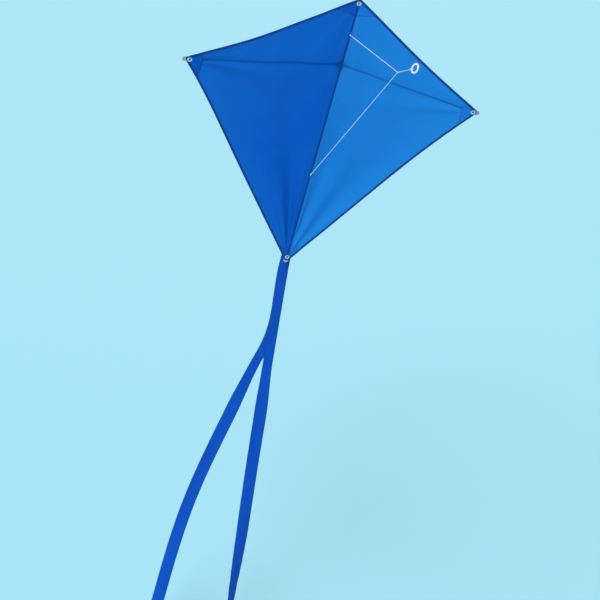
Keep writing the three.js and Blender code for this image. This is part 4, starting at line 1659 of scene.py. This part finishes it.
    def _cap_body(self, mesher: Mesher, place: Matrix, axis_y: float) -> None:
        """Adds the cap's tube, its flattening and its tongue as one lofted skin, with the bore inside."""
        mouth = -(self.socket_start + self.socket_length)
        half, tip = self.tongue_half_width, self.tongue_tip
        socket, tongue_y, bore = self.socket_radius, self.tongue_y, self.bore_radius
        heights = np.concatenate(
            [
                np.linspace(mouth, -self.socket_start - 2 * MM, 14),
                np.linspace(-self.socket_start, 0, 14),
                np.linspace(1 * MM, tip - half, 8),
                tip - half + half * np.sin(np.linspace(0.1, math.pi / 2 - 0.02, 14)),
            ]
        )
        angles = np.linspace(0, 2 * math.pi, self.sections, endpoint=False)
        cos, sin = np.cos(angles), np.sin(angles)
        rings = []
        for z in heights:
            flat = float(smoothstep(-self.socket_start - 1 * MM, 1 * MM, np.array(z)))
            past = max(0.0, (z - (tip - half)) / half)
            width = (socket * (1 - flat) + half * flat) * math.sqrt(max(0.0, 1 - past**2))
            lip = 0.15 * MM * math.exp(-(((z - mouth) / (1.2 * MM)) ** 2))
            thinned = 1 if past < 0.8 else 1 - (past - 0.8) * 1.5
            thick = (socket * (1 - flat) + self.tongue_half_thickness * flat) * thinned
            power = 1 - 0.45 * flat
            bead = 1 + 0.22 * flat * smoothstep(0.55, 0.9, abs(cos)) - 0.16 * flat
            x = (width + lip) * np.sign(cos) * abs(cos) ** power
            y = (thick * bead + lip) * np.sign(sin) * abs(sin) ** power
            centre_y = axis_y * (1 - flat) + tongue_y * flat
            rings.append(np.stack([x, centre_y + y, np.full_like(x, z)], 1))
        bore_rings = []
        floor = -self.socket_start
        for z, radius in (
            (mouth, bore + 0.3 * MM),
            (mouth + 0.5 * MM, bore),
            (floor - 2 * MM, bore),
            (floor - 1.6 * MM, 0.4 * MM),
        ):
            bore_rings.append(np.stack([radius * cos, axis_y + radius * sin, np.full_like(cos, z)], 1))
        skin = np.stack(bore_rings[::-1] + rings)
        mesher.grid(moved(skin, place), wrap_columns=True, caps=True)

    def build_connector(self) -> None:
        """Adds the centre connector with the rounded edges of a moulding."""
        source = frame["nodes"]["centre_connector"]
        piece = bpy.data.objects.new("centre_connector_moulded", source.data.copy())
        piece.data.materials.clear()
        piece.data.materials.append(self.finishes.black)
        bpy.context.scene.collection.objects.link(piece)
        remesh = piece.modifiers.new("round", "REMESH")
        remesh.mode, remesh.voxel_size, remesh.use_smooth_shade = "VOXEL", self.voxel, True
        smooth = piece.modifiers.new("ease", "SMOOTH")
        smooth.factor, smooth.iterations = 0.5, 8
        evaluated = piece.evaluated_get(bpy.context.evaluated_depsgraph_get())
        piece.data = bpy.data.meshes.new_from_object(evaluated)
        piece.modifiers.clear()
        piece.data.polygons.foreach_set("use_smooth", [True] * len(piece.data.polygons))
        self._map_by_place(piece)
        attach(piece, "kite")
        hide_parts("centre_connector")
        log.info("centre_connector_moulded: %d faces", len(piece.data.polygons))

    @staticmethod
    def _map_by_place(piece: bpy.types.Object) -> None:
        """Gives a piece a map from its points' X and Z, with Y added so that no side is blank."""
        mesh = piece.data
        points = np.array([v.co for v in mesh.vertices])
        flat = np.stack([points[:, 0] + 0.7 * points[:, 1], points[:, 2] + 0.45 * points[:, 1]], 1)
        corners = np.array([loop.vertex_index for loop in mesh.loops])
        for layer in list(mesh.uv_layers):
            mesh.uv_layers.remove(layer)
        layer = mesh.uv_layers.new(name=Mesher.MAP)
        layer.data.foreach_set("uv", flat[corners].astype(np.float32).ravel())


@dataclass
class Ribbon:
    """One ribbon tail: how it sways sideways, ripples back and forth, and turns."""

    side: Side
    upper: tuple[float, float, float]
    lower: tuple[float, float]
    ripple: float
    ripple_length: float
    turn: tuple[float, float, float]
    width: float = 33 * MM
    top_width: float = 25 * MM
    gather: float = 150 * MM
    half_thickness: float = 0.09 * MM
    bend_reach: float = 45 * MM
    rows: int = 460
    columns: int = 13

    def __post_init__(self) -> None:
        """Finds the ribbon's ends in the frame."""
        upper_low, upper_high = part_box(f"ribbon_{self.side.label}_upper")
        lower_low, lower_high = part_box(f"ribbon_{self.side.label}_lower")
        self.y = (upper_low.y + upper_high.y) / 2
        self.top = upper_high.z
        self.upper_length = upper_high.z - upper_low.z
        self.split = lower_high.z
        self.lower_length = lower_high.z - lower_low.z

    @property
    def cut_length(self) -> float:
        """The ribbon's length from its head to its end."""
        return self.top - self.split + self.lower_length

    def centre(self, down: np.ndarray) -> np.ndarray:
        """The ribbon's centre line at distances below its head."""
        spread = np.linspace(-20 * MM, 20 * MM, 9)[:, None]
        x = self._sway(np.clip(down[None] + spread, 0, self.cut_length)).mean(0)
        y = self.y + self.ripple * self._free(down) * np.sin(2 * math.pi * down / self.ripple_length)
        return np.stack([x, y, self.top - down], 1)

    def _sway(self, down: np.ndarray) -> np.ndarray:
        """How far the ribbon is sideways: it leans, and bows, above the fold and below it."""
        span = self.top - self.split
        above, below = np.minimum(down, span), np.maximum(down - span, 0)
        share = np.minimum(above / self.upper_length, 1) ** self.upper[2]
        upper = self.upper[0] * above + self.upper[1] * np.sin(math.pi * share)
        return upper + self.lower[0] * below + self.lower[1] * np.sin(math.pi * below / self.lower_length)

    def _free(self, down: np.ndarray) -> np.ndarray:
        """0 where the two ribbons hang against each other, and 1 where each hangs alone."""
        return smoothstep(0.3, 0.5, down)

    def build(self, finishes: Finishes) -> bpy.types.Object:
        """Adds the ribbon as one cloth from its head to its end.

        Args:
            finishes: The kite's finishes.

        Returns:
            The ribbon.
        """
        down = np.linspace(0, self.cut_length - 0.5 * MM, self.rows)
        line = self.centre(down)
        tangent = np.gradient(line, axis=0)
        tangent /= np.linalg.norm(tangent, axis=1)[:, None]
        free = self._free(down)
        start, end, angle = self.turn
        turn = math.radians(angle) * smoothstep(start, end, down)
        turn = turn + math.radians(4) * np.sin(down / 0.083 + self.side.value) * free
        level = np.stack([np.cos(turn), np.sin(turn), 0 * turn], 1)
        level -= tangent * (level * tangent).sum(1)[:, None]
        level /= np.linalg.norm(level, axis=1)[:, None]
        facing = np.cross(level, tangent)
        open_share = smoothstep(0.0, self.gather, down - self.upper_length)
        width = self.top_width + (self.width - self.top_width) * open_share
        across = np.linspace(-0.5, 0.5, self.columns)
        swing = (free * np.sin(down / 0.12 + self.side.value))[:, None]
        cup = 1.6 * MM * swing * (4 * across[None] ** 2 - 0.4)
        gathers = 0.25 * MM * (1 - open_share)[:, None] * np.sin(across[None] * 6 * math.pi)
        flutter = np.sin(down / 0.011 + 3 * np.sin(down / 0.05))[:, None]
        ruffle = 0.4 * MM * flutter * abs(2 * across[None]) ** 4
        lift = (cup + gathers + ruffle * free[:, None])[..., None]
        sideways = (across[None] * width[:, None])[..., None] * level[:, None]
        points = line[:, None] + sideways + lift * facing[:, None]
        half = self.half_thickness
        front, back = points - half * facing[:, None], points + half * facing[:, None]
        map_rows = np.broadcast_to(down[:, None], points.shape[:2])
        map_columns = np.broadcast_to(across[None] * self.width, points.shape[:2])
        mesher = Mesher()
        mesher.slab(front, back, map_rows=map_rows, map_columns=map_columns)
        name = self.side.label
        ribbon = mesher.build(
            f"ribbon_{name}",
            finishes.ribbon,
            slot="ribbon_blue",
            replaces=[f"ribbon_{name}_upper", f"ribbon_{name}_lower"],
        )
        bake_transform(ribbon)
        return ribbon


@dataclass
class Tail:
    """The strap and the sewn head that hold the two ribbons."""

    finishes: Finishes
    stitching: Stitching = field(default_factory=lambda: Stitching(1.9 * MM, 0.8 * MM, 0.22 * MM))
    head_layer: float = 1.0 * MM
    bend_reach: float = 6 * MM

    def build_strap(self) -> None:
        """Adds the strap over the tail cap's socket, with its feet sewn to the cloth."""
        low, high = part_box("tail_strap")
        foot, shoulder, rise = high.x, 7.2 * MM, 4.2 * MM
        thickness = 0.55 * MM
        arch = high.y - thickness / 2
        base = low.y + thickness / 2
        knots = np.array(
            [
                [foot, base + 0.45 * MM],
                [foot - 5 * MM, base + 0.1 * MM],
                [shoulder + 0.9 * MM, base],
                [shoulder + 0.1 * MM, base + 1.2 * MM],
                [shoulder, rise + 0.8 * MM],
                [4.6 * MM, arch - 0.5 * MM],
                [3.2 * MM, arch],
                [0, arch],
            ]
        )
        outline = np.concatenate([knots, (knots * [-1, 1])[-2::-1]])
        at = arc_lengths(np.pad(outline, ((0, 0), (0, 1))))
        fine = np.linspace(0, at[-1], 90)
        x, y = (np.interp(fine, at, outline[:, k]) for k in range(2))
        kernel = np.array([1, 2, 3, 2, 1]) / 9
        for _ in range(2):
            x[2:-2], y[2:-2] = np.convolve(x, kernel, "valid"), np.convolve(y, kernel, "valid")
        tangent = np.stack([np.gradient(x), np.gradient(y)], 1)
        tangent /= np.linalg.norm(tangent, axis=1)[:, None]
        normal = np.stack([-tangent[:, 1], tangent[:, 0]], 1)
        z = np.linspace(low.z, high.z, 15)
        sag = 0.12 * MM * np.sin((z - low.z) / (high.z - low.z) * math.pi)
        faces = []
        for sign in (1, -1):
            offset = sign * thickness / 2
            px = x[:, None] + normal[:, :1] * (offset + 0 * sag[None])
            py = y[:, None] + normal[:, 1:] * (offset + 0 * sag[None])
            faces.append(np.stack([px, py, np.broadcast_to(z[None], px.shape)], -1))
        mesher = Mesher()
        mesher.slab(*faces)
        mesher.build("tail_strap_cloth", self.finishes.strap, "kite", "patch_blue", ["tail_strap"])
        stitches = Mesher()
        for sign in (-1, 1):
            for inset in (1.6 * MM, 5.0 * MM):
                column = np.full(40, sign * (foot - inset))
                raised = np.full(40, low.y + thickness + 0.5 * MM)
                path = np.stack([column, raised, np.linspace(low.z + 1 * MM, high.z - 1 * MM, 40)], 1)
                self.stitching.along(stitches, path, np.tile([0.0, 1.0, 0.0], (40, 1)))
        stitches.build("tail_strap_stitches", self.finishes.thread, "kite", "patch_blue")

    def build_head(self) -> None:
        """Adds the gathered, doubled cloth that is sewn to the strap and reaches down past the tails' hinge.
        """
        low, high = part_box("tail_head")
        pivot = hinge("tails_swing")
        bottom = pivot.z - 17 * MM
        z = np.linspace(high.z, bottom, 64)
        across = np.linspace(-0.5, 0.5, 25)
        flare = smoothstep(0, 1, (high.z - z) / (high.z - bottom))
        width = (high.x - low.x) * (1 - 0.012 * np.sin((high.z - z) / 0.011) - 0.01 * flare)
        sway = 0.045 * np.maximum(high.z - 40 * MM - z, 0) + 0.2 * MM * np.sin((high.z - z) / 0.013)
        pleat = 0.28 * MM * np.sin(across * 5 * math.pi)[None] * (1 - 0.5 * flare)[:, None]
        plump = self.head_layer * (1 - 0.12 * flare)[:, None] * (1 - 0.55 * abs(2 * across[None]) ** 6)
        x = across[None] * width[:, None] + sway[:, None]
        grid_z = np.broadcast_to(z[:, None], x.shape)
        front = np.stack([x, pivot.y - plump + pleat, grid_z], -1)
        back = np.stack([x, pivot.y + plump + pleat, grid_z], -1)
        mesher = Mesher()
        mesher.slab(front, back)
        head = mesher.build(
            "tail_head_cloth", self.finishes.ribbon, slot="ribbon_blue", replaces=["tail_head"]
        )
        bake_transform(head)
        stitches = Mesher()
        for height in (high.z - 2.5 * MM, high.z - 12 * MM):
            row = np.linspace(low.x + 2 * MM, high.x - 2 * MM, 40)
            path = np.stack([row, np.full(40, pivot.y + self.head_layer + 0.15 * MM), np.full(40, height)], 1)
            self.stitching.along(stitches, path, np.tile([0.0, 1.0, 0.0], (40, 1)))
        stitches.build("tail_head_stitches", self.finishes.thread, "kite", "ribbon_blue")


def main() -> None:
    """Builds the kite, piece by piece."""
    logging.basicConfig(level=logging.INFO, format="%(message)s")
    finishes = Finishes()
    studio = Studio(finishes)
    studio.place_camera()
    bridle = Bridle(finishes)
    bridle.build_cords()
    bridle.build_ring()

    layout = Layout.from_frame()
    fittings = Fittings(finishes, layout)
    rods = fittings.build_rods()
    ties = {name: middle(name).z for name in ("bridle_tie_upper", "bridle_tie_lower")}
    bridle.build_ties(rods["spine_rod"], ties)
    sail = Sail(finishes, Billow(layout), tie_heights=tuple(ties.values()))
    sail.build_panels()
    sail.build_hems()
    sail.build_tape()
    sail.build_patches()
    fittings.build_eyelets()
    fittings.build_caps(rods)
    fittings.build_connector()

    tail = Tail(finishes)
    tail.build_strap()
    tail.build_head()
    Ribbon(
        Side.LEFT,
        (-0.0067, 17 * MM, 1.5),
        (-0.0922, -27 * MM),
        ripple=5 * MM,
        ripple_length=0.62,
        turn=(0.35, 0.9, -12),
    ).build(finishes)
    Ribbon(
        Side.RIGHT, (0.1, 0.0, 1.0), (0.109, 2 * MM), ripple=4 * MM, ripple_length=0.5, turn=(0.55, 1.35, 60)
    ).build(finishes)
    studio.dress()


if __name__ == "__main__":
    main()
